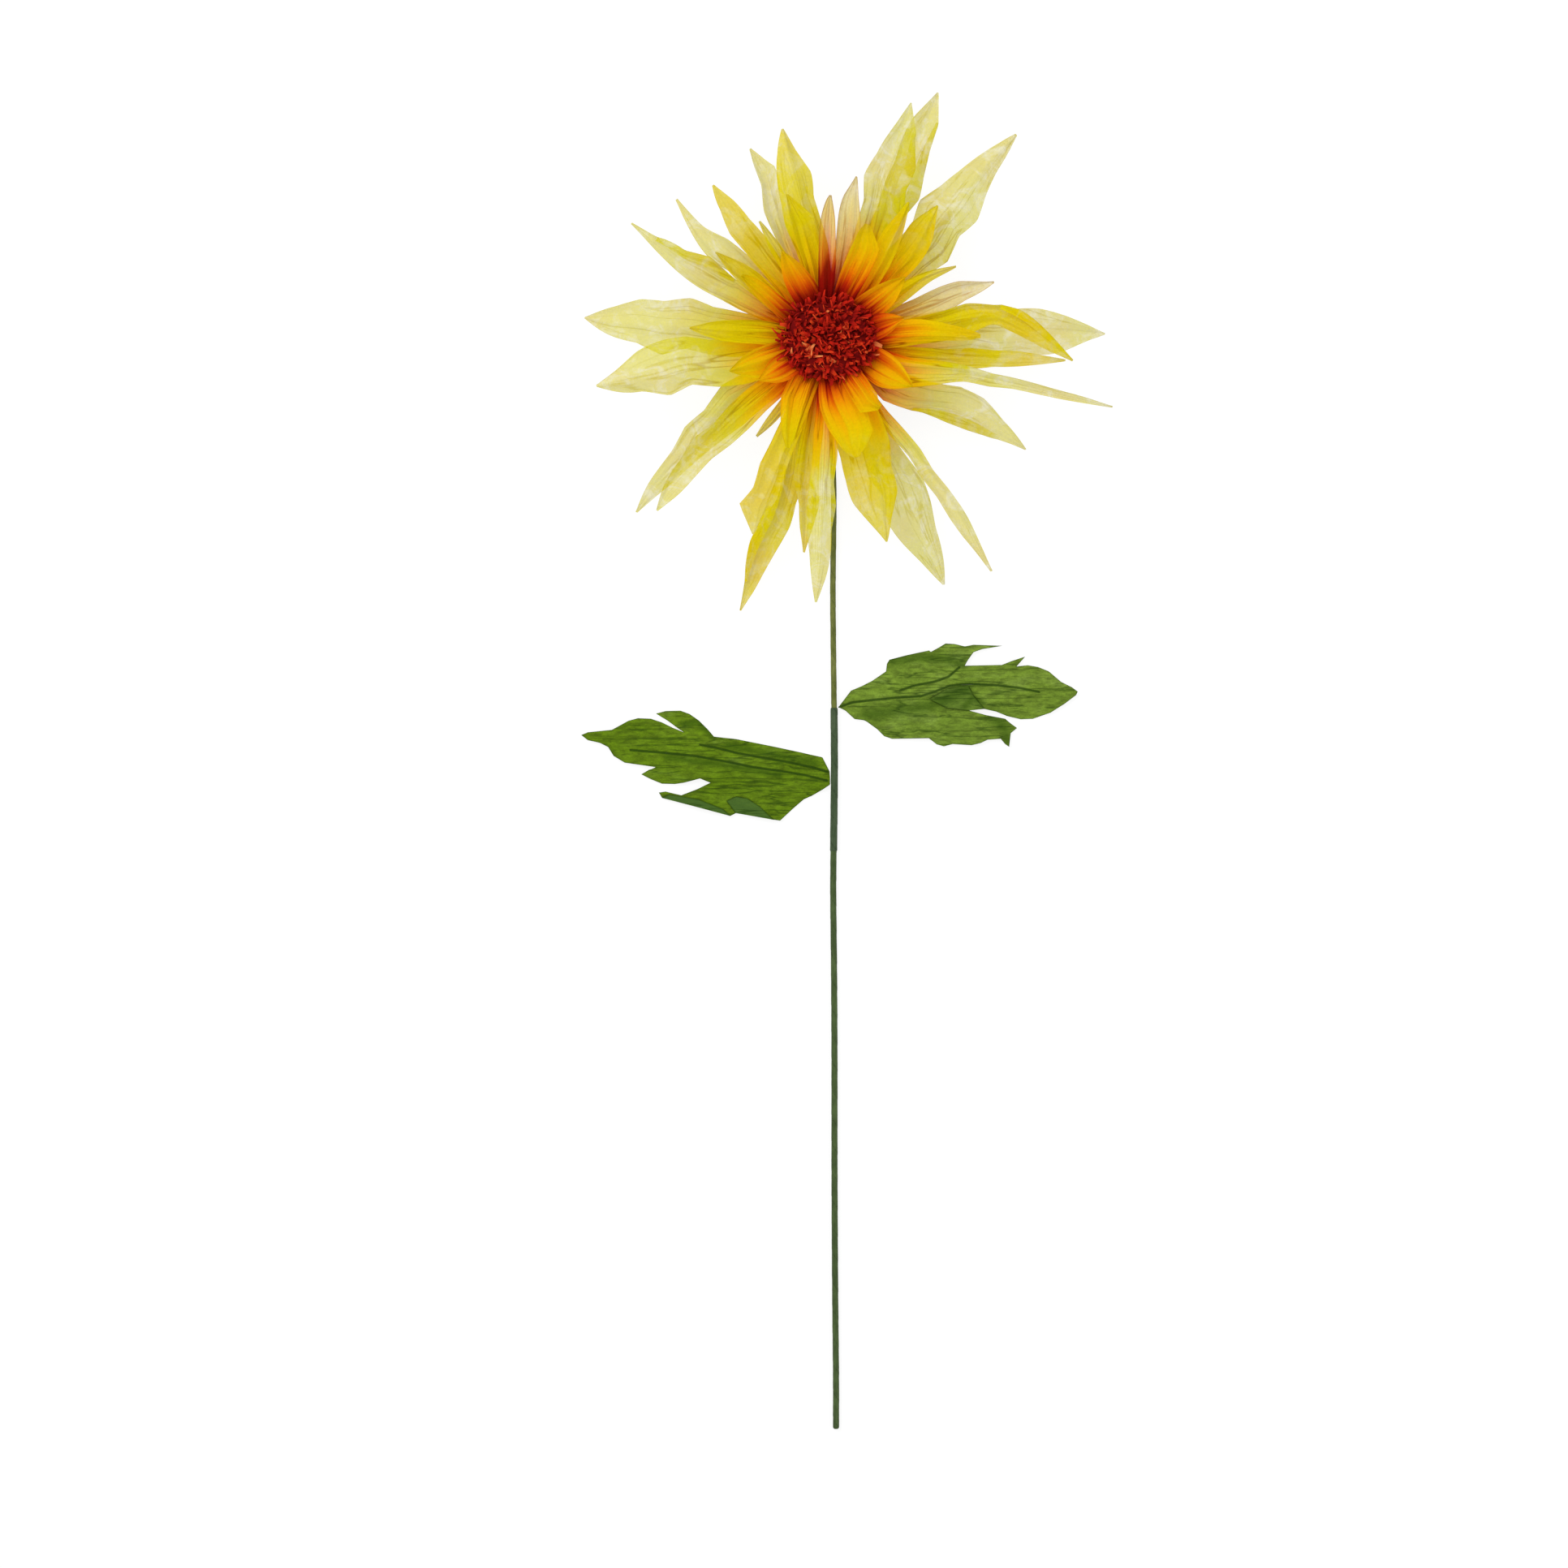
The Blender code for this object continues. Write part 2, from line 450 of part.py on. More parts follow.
def stem_line():
    """The centre line, from the cut end along the table and up into the roll."""
    line = [Vector((stem_x(y * MM), y * MM, stem_level(y * MM))) for y, _ in STEM_WANDER_MM[1:]]
    line = [Vector((stem_x(STEM_END_Y), STEM_END_Y, stem_level(STEM_END_Y)))] + line
    centre = JOINT_WRAP_RADIUS + STEM_BEND_RADIUS
    for step in range(BEND_STEPS + 1):
        turn = 0.5 * math.pi * step / BEND_STEPS
        across = -STEM_BEND_RADIUS * (1 - math.sin(turn))
        line.append(Vector((0.0, across, centre - STEM_BEND_RADIUS * math.cos(turn))))
    line.append(Vector((0.0, 0.0, ROLL_BASE_Z + WIRE_IN_ROLL)))
    return line


def cut_line(line, start_y, end_y):
    """The stretch of the stem's line between two places along the table."""
    def at(y):
        for a, b in zip(line, line[1:]):
            if a.y <= y <= b.y and b.y > a.y:
                return a.lerp(b, (y - a.y) / (b.y - a.y))
        return line[0].copy()
    inner = [p for p in line if start_y + MM < p.y < end_y - MM]
    return [at(start_y)] + inner + [at(end_y)]


def frames(line):
    """A matrix at each point of a line, its third axis along the line, turned as little as can be."""
    made = []
    side = Vector((1.0, 0.0, 0.0))
    for index, point in enumerate(line):
        before = line[max(index - 1, 0)]
        after = line[min(index + 1, len(line) - 1)]
        along = (after - before).normalized()
        side = (side - along * side.dot(along)).normalized()
        other = along.cross(side)
        made.append(Matrix.Translation(point) @ Matrix((side, other, along)).transposed().to_4x4())
    return made


def sweep(mesh, places, radii, sides):
    """A tube of rings, one for each place and radius. Returns the first and the last ring's edges."""
    half_side = math.pi / sides
    rings = []
    for place, radius in zip(places, radii):
        spin = Matrix.Rotation(half_side, 4, "Z")
        ring = bmesh.ops.create_circle(mesh, segments=sides, radius=radius, matrix=place @ spin)["verts"]
        rings.append(ring)
    for low, high in zip(rings, rings[1:]):
        for i in range(sides):
            j = (i + 1) % sides
            mesh.faces.new((low[i], low[j], high[j], high[i]))
    return rings[0], rings[-1]


def wrap_sleeve(name, line, radius, bore, paint_name, parent, closed_end=False):
    """A paper tape wound on the wire, as one sleeve. A closed end has a chamfer and a wall over the wire."""
    mesh = bmesh.new()
    places = frames(line)
    radii = [radius] * len(line)
    if closed_end:
        along = (line[1] - line[0]).normalized()
        places = [places[0], Matrix.Translation(along * STEM_END_CHAMFER) @ places[0]] + places[1:]
        radii = [radius - STEM_END_CHAMFER, radius] + radii[1:]
        inner_places = [Matrix.Translation(along * STEM_END_WALL) @ places[0]] + frames(line)[1:]
    else:
        inner_places = frames(line)
    first, last = sweep(mesh, places, radii, STEM_SIDES)
    inner_first, inner_last = sweep(mesh, inner_places, [bore] * len(inner_places), STEM_SIDES)
    joined = [(last, inner_last)]
    if closed_end:
        mesh.faces.new(first)
        mesh.faces.new(inner_first)
    else:
        joined.append((first, inner_first))
    for outer, inner in joined:
        for i in range(STEM_SIDES):
            j = (i + 1) % STEM_SIDES
            mesh.faces.new((outer[i], outer[j], inner[j], inner[i]))
    return finished(name, mesh, paint_name, parent)


def wire(name, line, radius, sides, paint_name, parent):
    mesh = bmesh.new()
    first, last = sweep(mesh, frames(line), [radius] * len(line), sides)
    mesh.faces.new(first)
    mesh.faces.new(last)
    return finished(name, mesh, paint_name, parent)


def make_stem(parent):
    line = stem_line()
    bore = STEM_WIRE_RADIUS + TOUCH_GAP
    wire_start = STEM_END_Y + STEM_END_WALL + TOUCH_GAP
    core = cut_line(line, wire_start, -STEM_BEND_RADIUS)[:-1]
    core += [p for p in line if p.y >= -STEM_BEND_RADIUS - 1e-9]
    wire("stem_wire", core, STEM_WIRE_RADIUS, STEM_SIDES, "stem_wire", parent)
    lower = cut_line(line, STEM_END_Y, JOINT_START_Y - TOUCH_GAP)
    wrap_sleeve("lower_stem_wrap", lower, LOWER_WRAP_RADIUS, bore, "green_stem_tape", parent, closed_end=True)
    joint = cut_line(line, JOINT_START_Y, JOINT_END_Y)
    wrap_sleeve("joint_wrap", joint, JOINT_WRAP_RADIUS, bore, "green_stem_tape", parent)
    upper = cut_line(line, JOINT_END_Y + TOUCH_GAP, -STEM_BEND_RADIUS)[:-1]
    upper += [p for p in line[:-1] if p.y >= -STEM_BEND_RADIUS - 1e-9]
    upper.append(Vector((0.0, 0.0, ROLL_BASE_Z - TOUCH_GAP)))
    wrap_sleeve("upper_stem_wrap", upper, UPPER_WRAP_RADIUS, bore, "olive_stem_tape", parent)


# The head: a turned wrap and a binding ring below, the rolled fringe in the middle
def turned(name, profile, paint_name, parent, sides, closed=True):
    """A profile of (radius, height) points turned about the head's axis."""
    mesh = bmesh.new()
    points = [mesh.verts.new((radius, 0.0, height)) for radius, height in profile]
    ends = points + points[:1] if closed else points
    edges = [mesh.edges.new(pair) for pair in zip(ends, ends[1:])]
    bmesh.ops.spin(mesh, geom=points + edges, cent=(0, 0, 0), axis=(0, 0, 1), angle=2 * math.pi, steps=sides)
    bmesh.ops.remove_doubles(mesh, verts=mesh.verts[:], dist=0.01 * MM)
    return finished(name, mesh, paint_name, parent)


def make_head_wrap(parent):
    top = ROLL_BASE_Z - TOUCH_GAP
    bore = UPPER_WRAP_RADIUS + TOUCH_GAP
    rim = ROLL_RADIUS - TOUCH_GAP
    waist, drop = HEAD_WRAP_WAIST
    profile = (
        (bore, top),
        (bore, top - HEAD_WRAP_HEIGHT),
        (bore + HEAD_WRAP_NECK, top - HEAD_WRAP_HEIGHT),
        (waist * rim, top - drop * HEAD_WRAP_HEIGHT),
        (rim, top - HEAD_WRAP_RIM),
        (rim, top),
    )
    turned("head_wrap", profile, "green_stem_tape", parent, HEAD_WRAP_SIDES)


def make_binding(parent):
    middle = ROLL_RADIUS + TOUCH_GAP + BINDING_RADIUS
    height = ROLL_BASE_Z + BINDING_Z
    profile = []
    for step in range(BINDING_SIDES):
        turn = 2 * math.pi * step / BINDING_SIDES
        profile.append((middle + BINDING_RADIUS * math.cos(turn), height + BINDING_RADIUS * math.sin(turn)))
    turned("binding_thread", profile, "binding_thread", parent, BINDING_STEPS)


def make_fringe(parent):
    """The rolled fringe: a roll with a blind bore for the wire, a flare, and cut tufts on a low dome."""
    draw = random.Random(11)
    mesh = bmesh.new()
    bore = STEM_WIRE_RADIUS + TOUCH_GAP
    bore_top = ROLL_BASE_Z + WIRE_IN_ROLL + TOUCH_GAP
    rim_z = ROLL_BASE_Z + ROLL_HEIGHT + FRINGE_FLARE_HEIGHT

    def ring(width, depth, height, stagger=0.0):
        made = []
        for step in range(FRINGE_COLUMNS):
            turn = 2 * math.pi * (step + stagger) / FRINGE_COLUMNS
            made.append(mesh.verts.new((width * math.cos(turn), depth * math.sin(turn), height)))
        return made

    rings = [ring(bore, bore, bore_top), ring(bore, bore, ROLL_BASE_Z)]
    rings.append(ring(ROLL_RADIUS, ROLL_RADIUS, ROLL_BASE_Z))
    rings.append(ring(ROLL_RADIUS, ROLL_RADIUS, ROLL_BASE_Z + ROLL_HEIGHT))
    for share in (0.5, 1.0):
        width = blend(ROLL_RADIUS, FRINGE_HALF_WIDTH, share)
        depth = blend(ROLL_RADIUS, FRINGE_HALF_DEPTH, share)
        rings.append(ring(width, depth, ROLL_BASE_Z + ROLL_HEIGHT + FRINGE_FLARE_HEIGHT * share))
    first_top = len(rings)
    for index, share in enumerate(FRINGE_RINGS):
        crown = rim_z + FRINGE_RIM + FRINGE_DOME_HEIGHT * (1 - share * share)
        width, depth = FRINGE_HALF_WIDTH * share, FRINGE_HALF_DEPTH * share
        rings.append(ring(width, depth, crown, FRINGE_STAGGER * index))
    tops = []
    for index, (low, high) in enumerate(zip(rings, rings[1:])):
        for i in range(FRINGE_COLUMNS):
            j = (i + 1) % FRINGE_COLUMNS
            face = mesh.faces.new((low[i], low[j], high[j], high[i]))
            if index >= first_top:
                tops.append(face)
    mesh.faces.new(rings[0])
    tops.append(mesh.faces.new(rings[-1]))
    bmesh.ops.recalc_face_normals(mesh, faces=mesh.faces[:])
    bmesh.ops.inset_individual(mesh, faces=tops, thickness=TUFT_GAP, use_even_offset=True)
    for made in bmesh.ops.extrude_discrete_faces(mesh, faces=tops)["faces"]:
        middle = made.calc_center_median()
        out = Vector((middle.x, middle.y, 0.0)) / FRINGE_HALF_WIDTH
        lean = Vector((draw.uniform(-1, 1), draw.uniform(-1, 1), 0.0))
        rise = TUFT_LENGTH * draw.uniform(*TUFT_RISE)
        twist = Matrix.Rotation(draw.uniform(-TUFT_TWIST, TUFT_TWIST), 3, "Z")
        shrink = draw.uniform(*TUFT_TAPER)
        for vert in made.verts:
            vert.co = middle + twist @ (vert.co - middle) * shrink + (out + 0.5 * lean) * TUFT_LEAN
            vert.co.z = middle.z + rise + (vert.co - middle).dot(lean) * TUFT_SLOPE
    finished("fringe_centre", mesh, "red_fringe_paper", parent, smooth=False)


# The petals
def round_height(petal_round, radius):
    """Height of a round's sheet at a distance from the head's axis."""
    rise, droop = ROUNDS[petal_round]
    out = max(radius - ROLL_RADIUS - TOUCH_GAP, 0.0)
    base = ROLL_BASE_Z + FIRST_ROUND_Z + ROUND_STEP * list(ROUNDS).index(petal_round)
    return base + rise * out - droop / MM * out * out


def crease_height(radius, width):
    out = max(radius - ROLL_RADIUS - TOUCH_GAP, 0.0)
    return min(CREASE_AT_ROLL * ROUND_STEP + CREASE_GROWTH * out, CREASE_MOST, CREASE_OF_WIDTH * width)


def petal_edges(tip, left, right):
    """Both edges in metres, with the root on the roll added and the tip cut blunt."""
    left = [Vector(p) * MM for p in left]
    right = [Vector(p) * MM for p in right]
    tip = Vector(tip) * MM
    middle = left[0].normalized() + right[0].normalized()
    aim = math.atan2(middle.y, middle.x)
    root = around(aim, ROLL_RADIUS + TOUCH_GAP)
    across = Vector((-math.sin(aim), math.cos(aim)))
    along = (tip - 0.5 * (left[-1] + right[-1])).normalized()
    tip_across = Vector((-along.y, along.x)) * TIP_HALF_WIDTH
    left = [root + across * ROOT_HALF_WIDTH] + left + [tip + tip_across]
    right = [root - across * ROOT_HALF_WIDTH] + right + [tip - tip_across]
    return left, right


def lens_edges(aim, reach, half_width):
    """The edges of a plain short petal, widest past its middle."""
    along = around(math.radians(aim), 1.0)
    across = Vector((-along.y, along.x))
    left, right = [], []
    for share, swell in LENS_PROFILE:
        middle = along * reach * share
        left.append(middle + across * half_width * swell)
        right.append(middle - across * half_width * swell)
    return along * reach, left, right


def fold_edge(mesh, grid, side, widest, begins, ends):
    """Turns the paper over along one edge: up by the fold's rise, then inwards over the sheet's own folds."""
    rows = len(grid)
    picked = [r for r in range(rows) if begins <= r / (rows - 1) <= ends]
    up, over = [], []
    for r in picked:
        row = grid[r] if side == "counter_clockwise" else grid[r][::-1]
        step = (r - picked[0] + FLAP_END_STEP) / (picked[-1] - picked[0] + 2 * FLAP_END_STEP)
        across = (row[0].co - row[-1].co).length
        flap = min(widest * MM * math.sin(math.pi * step) / across, FLAP_OF_WIDTH)
        place = flap * (len(row) - 1)
        panel = int(place)
        reach = row[panel].co.lerp(row[panel + 1].co, place - panel)
        crest = max(vert.co.z for vert in row[:panel + 1])
        reach.z = max(reach.z, crest)
        up.append(mesh.verts.new(row[0].co + Vector((0, 0, FOLD_RISE))))
        over.append(mesh.verts.new(reach + Vector((0, 0, FOLD_RISE))))
    edge = 0 if side == "counter_clockwise" else -1
    for k in range(len(picked) - 1):
        a, b = grid[picked[k]][edge], grid[picked[k + 1]][edge]
        mesh.faces.new((a, b, up[k + 1], up[k]))
        mesh.faces.new((up[k], up[k + 1], over[k + 1], over[k]))


def make_petal(name, petal_round, paint_name, crease, edges, fold, phase, parent):
    left, right = edges
    length = sum((b - a).length for a, b in zip(left, left[1:]))
    rows = max(FEWEST_ROWS, round(length / ROW_PITCH)) + 1
    mesh = bmesh.new()
    grid = []
    for index, (l_point, r_point) in enumerate(zip(even_points(left, rows), even_points(right, rows))):
        share = index / (rows - 1)
        gathered = max(0.0, 1 - share / PLEATS_END)
        sway = 1 - CREASE_SWAY * (1 - math.sin(CREASE_SWAYS * share + phase))
        width = (r_point - l_point).length
        row = []
        for k, (root_fold, outer_fold) in enumerate(zip(PLEATED_ROOT, CREASES[crease])):
            place = l_point.lerp(r_point, k / (len(PLEATED_ROOT) - 1))
            shape = blend(outer_fold * sway, root_fold, gathered)
            radius = place.length
            height = round_height(petal_round, radius) + crease_height(radius, width) * shape
            row.append(mesh.verts.new((place.x, place.y, max(height, PETAL_SHEET))))
        grid.append(row)
    for low, high in zip(grid, grid[1:]):
        for k in range(len(low) - 1):
            mesh.faces.new((low[k], low[k + 1], high[k + 1], high[k]))
    if fold:
        fold_edge(mesh, grid, *fold)
    piece = finished(name, mesh, paint_name, parent)
    add_thickness(piece, PETAL_SHEET)
    return piece


def make_petals(parent):
    counts = dict.fromkeys(ROUNDS, 0)
    plain = []
    for petal_round, paint_name, crease, tip, left, right in PETALS:
        plain.append((petal_round, paint_name, crease, petal_edges(tip, left, right)))
    for petal_round, paint_name, crease, aim, reach, half_width in SHORT_PETALS:
        plain.append((petal_round, paint_name, crease, petal_edges(*lens_edges(aim, reach, half_width))))
    for index, (petal_round, paint_name, crease, edges) in enumerate(plain):
        counts[petal_round] += 1
        name = f"{petal_round}_petal_{counts[petal_round]:02d}"
        make_petal(name, petal_round, paint_name, crease, edges, FOLDS.get(name), NEXT_SWAY * index, parent)


# The leaves
def rib_y(rib, x):
    return read_along([(a * MM, b * MM) for a, b in rib], x)


def rib_height(rib, x):
    """The midrib's crest: level with the stem at the root, highest at a third, low again at the tip."""
    root, tip = rib[0][0] * MM, rib[-1][0] * MM
    share = (x - root) / (tip - root)
    crest = [(place, RIB_CREST_Z * part) for place, part in CREST_PROFILE]
    return read_along([(0.0, RIB_ROOT_Z)] + crest, share)


def leaf_height(rib, x, y):
    """The folded sheet: a crest along the midrib, rippled as it falls on both sides, the lobes' ends lifted."""
    away = abs(y - rib_y(rib, x))
    crest = rib_height(rib, x)
    fall = crest - LEAF_FALL * away
    ripple = LEAF_RIPPLE * math.sin(2 * math.pi * x / LEAF_RIPPLE_LENGTH) * min(away / LEAF_BAND, 1.0)
    lift = LOBE_LIFT * max(away - LOBE_START, 0.0)
    return max(fall + ripple + lift, LEAF_LOWEST_Z)


def cut_leaf(mesh, faces, point, normal):
    geometry = list({e for f in faces for e in f.edges} | {v for f in faces for v in f.verts} | set(faces))
    bmesh.ops.bisect_plane(mesh, geom=geometry, plane_co=point, plane_no=normal, dist=0.02 * MM)


def add_flap(mesh, corners, fold, flap):
    """A flap of a flat leaf: it stands on its fold by the rise, and reaches back over the leaf."""
    low = [corners[point] for point in fold]
    high = [mesh.verts.new(vert.co + Vector((0, 0, LEAF_FOLD_RISE))) for vert in low]
    for i in range(len(low) - 1):
        mesh.faces.new((low[i], low[i + 1], high[i + 1], high[i]))
    reach = [mesh.verts.new((x * MM, y * MM, LEAF_FOLD_RISE)) for x, y in flap]
    mesh.faces.new(high + reach)


def make_leaf(name, outline, rib, flaps, parent):
    """A leaf cut flat and folded: its mesh's cells follow the midrib, and the heights are set last."""
    mesh = bmesh.new()
    corners = {point: mesh.verts.new((point[0] * MM, point[1] * MM, 0.0)) for point in outline}
    mesh.faces.new(list(corners.values()))
    for fold, flap in flaps:
        add_flap(mesh, corners, fold, flap)
    xs = [x * MM for x, _ in outline]
    slabs = math.ceil((max(xs) - min(xs)) / LEAF_CELL)
    borders = [blend(min(xs), max(xs), step / slabs) for step in range(slabs + 1)]
    for border in borders[1:-1]:
        cut_leaf(mesh, mesh.faces[:], (border, 0, 0), (1, 0, 0))
    for low, high in zip(borders, borders[1:]):
        start = Vector((low, rib_y(rib, low), 0.0))
        end = Vector((high, rib_y(rib, high), 0.0))
        across = Vector((start.y - end.y, end.x - start.x, 0.0)).normalized()
        for band in LEAF_BANDS:
            inside = [f for f in mesh.faces if low < f.calc_center_median().x < high]
            cut_leaf(mesh, inside, start + Vector((0, band * LEAF_BAND, 0)), across)
    bmesh.ops.dissolve_degenerate(mesh, dist=0.05 * MM, edges=mesh.edges[:])
    bmesh.ops.triangulate(mesh, faces=[f for f in mesh.faces if len(f.verts) > 4])
    for vert in mesh.verts:
        vert.co.z += leaf_height(rib, vert.co.x, vert.co.y)
    piece = finished(name, mesh, "green_leaf_paper", parent)
    add_thickness(piece, LEAF_SHEET)
    return piece


def make_leaf_wire(name, rib, stop, parent):
    """The wire under the midrib, from its seat on the joint wrap to where it stops in the leaf."""
    under = 0.5 * LEAF_SHEET + TOUCH_GAP + LEAF_WIRE_RADIUS
    root = rib[0][0] * MM
    stop = stop * MM
    steps = math.ceil(abs(stop - root) / LEAF_CELL)
    line = []
    for step in range(steps + 1):
        x = blend(root, stop, step / steps)
        line.append(Vector((x, rib_y(rib, x), rib_height(rib, x) - under)))
    wire(name, line, LEAF_WIRE_RADIUS, LEAF_WIRE_SIDES, "green_leaf_wire", parent)


def make_leaves(parent):
    make_leaf("left_leaf", LEFT_LEAF_OUTLINE, LEFT_RIB_MM, LEFT_LEAF_FLAPS, parent)
    make_leaf("right_leaf", RIGHT_LEAF_OUTLINE, RIGHT_RIB_MM, RIGHT_LEAF_FLAPS, parent)
    make_leaf_wire("left_leaf_wire", LEFT_RIB_MM, LEFT_WIRE_STOP_MM, parent)
    make_leaf_wire("right_leaf_wire", RIGHT_RIB_MM, RIGHT_WIRE_STOP_MM, parent)


def place_origin(parent):
    """Moves the flower so that the middle of its box's underside is the origin."""
    bpy.context.view_layer.update()
    corners = []
    for piece in parent.children:
        shape = piece.evaluated_get(bpy.context.evaluated_depsgraph_get())
        corners += [shape.matrix_world @ vert.co for vert in shape.data.vertices]
    lows = [min(c[axis] for c in corners) for axis in range(3)]
    highs = [max(c[axis] for c in corners) for axis in range(3)]
    parent.location = (-0.5 * (lows[0] + highs[0]), -0.5 * (lows[1] + highs[1]), -lows[2])


def main():
    clear_scene()
    flower = bpy.data.objects.new("flower", None)
    bpy.context.collection.objects.link(flower)
    make_stem(flower)
    make_head_wrap(flower)
    make_binding(flower)
    make_fringe(flower)
    make_petals(flower)
    make_leaves(flower)
    place_origin(flower)
    bpy.context.view_layer.update()


main()
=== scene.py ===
# %% [markdown]
# # A paper flower, finished piece by piece
# The flower is cut and folded from dyed tissue and crepe paper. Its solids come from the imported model, so
# this file only makes looks: thin sheets with creases, cut edges and uneven dye, a heart of curled strips,
# and taped wire. We load the model first. Everything is in metres, with the head looking up and the stem
# running towards -Y.

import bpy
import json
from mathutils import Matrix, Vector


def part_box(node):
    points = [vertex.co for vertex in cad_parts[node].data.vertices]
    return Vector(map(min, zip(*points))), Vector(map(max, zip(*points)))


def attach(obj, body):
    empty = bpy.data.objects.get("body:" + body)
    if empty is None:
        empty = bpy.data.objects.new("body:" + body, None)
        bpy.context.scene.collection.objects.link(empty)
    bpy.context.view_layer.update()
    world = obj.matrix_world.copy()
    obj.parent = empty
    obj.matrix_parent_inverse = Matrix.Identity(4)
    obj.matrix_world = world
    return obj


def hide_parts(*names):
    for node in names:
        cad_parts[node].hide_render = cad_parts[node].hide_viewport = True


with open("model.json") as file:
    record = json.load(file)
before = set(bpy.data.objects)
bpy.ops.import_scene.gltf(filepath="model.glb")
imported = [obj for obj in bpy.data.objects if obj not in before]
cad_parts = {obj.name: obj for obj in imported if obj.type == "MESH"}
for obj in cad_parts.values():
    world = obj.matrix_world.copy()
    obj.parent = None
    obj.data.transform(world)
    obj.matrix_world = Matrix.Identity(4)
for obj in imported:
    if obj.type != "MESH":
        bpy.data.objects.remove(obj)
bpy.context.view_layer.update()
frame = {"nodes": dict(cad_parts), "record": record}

# %% Blender's modules and the units used below
import json
import math
import random

import bmesh
import bpy
import numpy as np
from mathutils import Matrix, Vector, kdtree, noise
from mathutils.bvhtree import BVHTree

MM = 0.001
draw = random.Random(7)

# %% [markdown]
# ## Where the flower's pieces are
# Each petal, leaf and wrap is a named solid. The wrap under the head is round the flower's middle, so its
# box gives the head's axis. Petals are measured from that axis, as a florist would: how far out, and in
# which direction.

# %% The head's axis and the petals' names
roll_low, roll_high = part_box("head_wrap")
HEAD = Vector((0.5 * (roll_low[0] + roll_high[0]), 0.5 * (roll_low[1] + roll_high[1]), 0.0))
petal_names = sorted(n for n in frame["nodes"] if "_petal_" in n)
slot_of = {row["node"]: row["material_slot"] for row in frame["record"]["subparts"]}
print(len(petal_names), "petals round", [round(1000 * c, 1) for c in HEAD[:2]], "mm")


# %% [markdown]
# ## Small helpers
# Blender's operators act on what is selected, and loading leaves every solid selected. So each step first
# lets go of everything and then takes the one piece it works on.

# %% Selecting one piece, and applying a modifier
def take_only(piece):
    bpy.ops.object.select_all(action="DESELECT")
    piece.select_set(True)
    bpy.context.view_layer.objects.active = piece


def apply_modifier(piece, kind, **settings):
    """Adds a modifier with its settings and applies it, so that the mesh holds the result."""
    take_only(piece)
    modifier = piece.modifiers.new(kind.lower(), kind)
    for name, value in settings.items():
        setattr(modifier, name, value)
    bpy.ops.object.modifier_apply(modifier=modifier.name)


def edit(piece):
    """Opens a piece in edit mode with nothing selected, and returns its mesh for selecting in code."""
    take_only(piece)
    bpy.ops.object.mode_set(mode="EDIT")
    bpy.ops.mesh.select_mode(type="VERT")
    bpy.ops.mesh.select_all(action="DESELECT")
    return bmesh.from_edit_mesh(piece.data)


def leave_edit():
    bpy.ops.object.mode_set(mode="OBJECT")


def shade(piece, degrees):
    """Smooth shading, with a hard edge where two faces turn by more than this."""
    take_only(piece)
    bpy.ops.object.shade_smooth_by_angle(angle=math.radians(degrees))


# %% Positions and point values as arrays
def positions(piece):
    points = np.empty(len(piece.data.vertices) * 3)
    piece.data.vertices.foreach_get("co", points)
    return points.reshape(-1, 3)


def set_positions(piece, points):
    piece.data.vertices.foreach_set("co", points.reshape(-1))
    piece.data.update()


def note(piece, name, values):
    """Writes one number for each point of a mesh, which a material can read by name."""
    layer = piece.data.attributes.new(name, "FLOAT", "POINT")
    layer.data.foreach_set("value", np.asarray(values, dtype=np.float32))


def read_note(piece, name):
    values = np.empty(len(piece.data.vertices), dtype=np.float32)
    piece.data.attributes[name].data.foreach_get("value", values)
    return values


# %% A new piece takes the place of a solid
def stands_for(piece, node_name, material):
    """The piece takes a node's place, and the node is hidden. It gets its finish, the material, and hangs from
    the root body.
    """
    piece.data.materials.clear()
    piece.data.materials.append(material)
    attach(piece, "root")
    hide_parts(node_name)


# %% [markdown]
# ## Colours and material nodes
# Colours are written as sRGB hex values, as a paint program shows them. Blender mixes light in linear
# values, so one function turns them. One more function adds any node with its settings and links.

# %% One function for colours, one for nodes
def linear(code):
    """An sRGB hex colour as the linear RGBA that a shader's socket takes."""
    made = []
    for start in (1, 3, 5):
        value = int(code[start:start + 2], 16) / 255
        made.append(value / 12.92 if value <= 0.04045 else ((value + 0.055) / 1.055) ** 2.4)
    return (*made, 1.0)


def add(tree, kind, links=None, out=0, stops=(), **settings):
    """Adds a node and returns one of its outputs. A link is another node's output, a number or a colour, and
    stops are the (place, colour) points of a colour ramp."""
    made = tree.nodes.new("ShaderNode" + kind)
    for name, value in settings.items():
        setattr(made, name, value)
    for index, (place, colour) in enumerate(stops):
        band = made.color_ramp.elements
        point = band[index] if index < 2 else band.new(place)
        point.position = place
        point.color = colour
    for socket, value in (links or {}).items():
        if isinstance(value, bpy.types.NodeSocket):
            tree.links.new(value, made.inputs[socket])
        else:
            made.inputs[socket].default_value = value
    return made.outputs[out] if len(made.outputs) else made


def new_material(name, patterns, constants):
    """A material of one Principled shader. patterns builds the nodes and returns what they drive. constants
    are the same all over, so they are set on the shader itself."""
    material = bpy.data.materials.new(name)
    material.use_nodes = True
    tree = material.node_tree
    tree.nodes.clear()
    surface = add(tree, "BsdfPrincipled", {**constants, **patterns(tree)})
    add(tree, "OutputMaterial", {"Surface": surface})
    return material


def per_metre(size_mm):
    """A noise texture's scale for a feature of this size on Object coordinates, which are metres."""
    return 1000.0 / size_mm


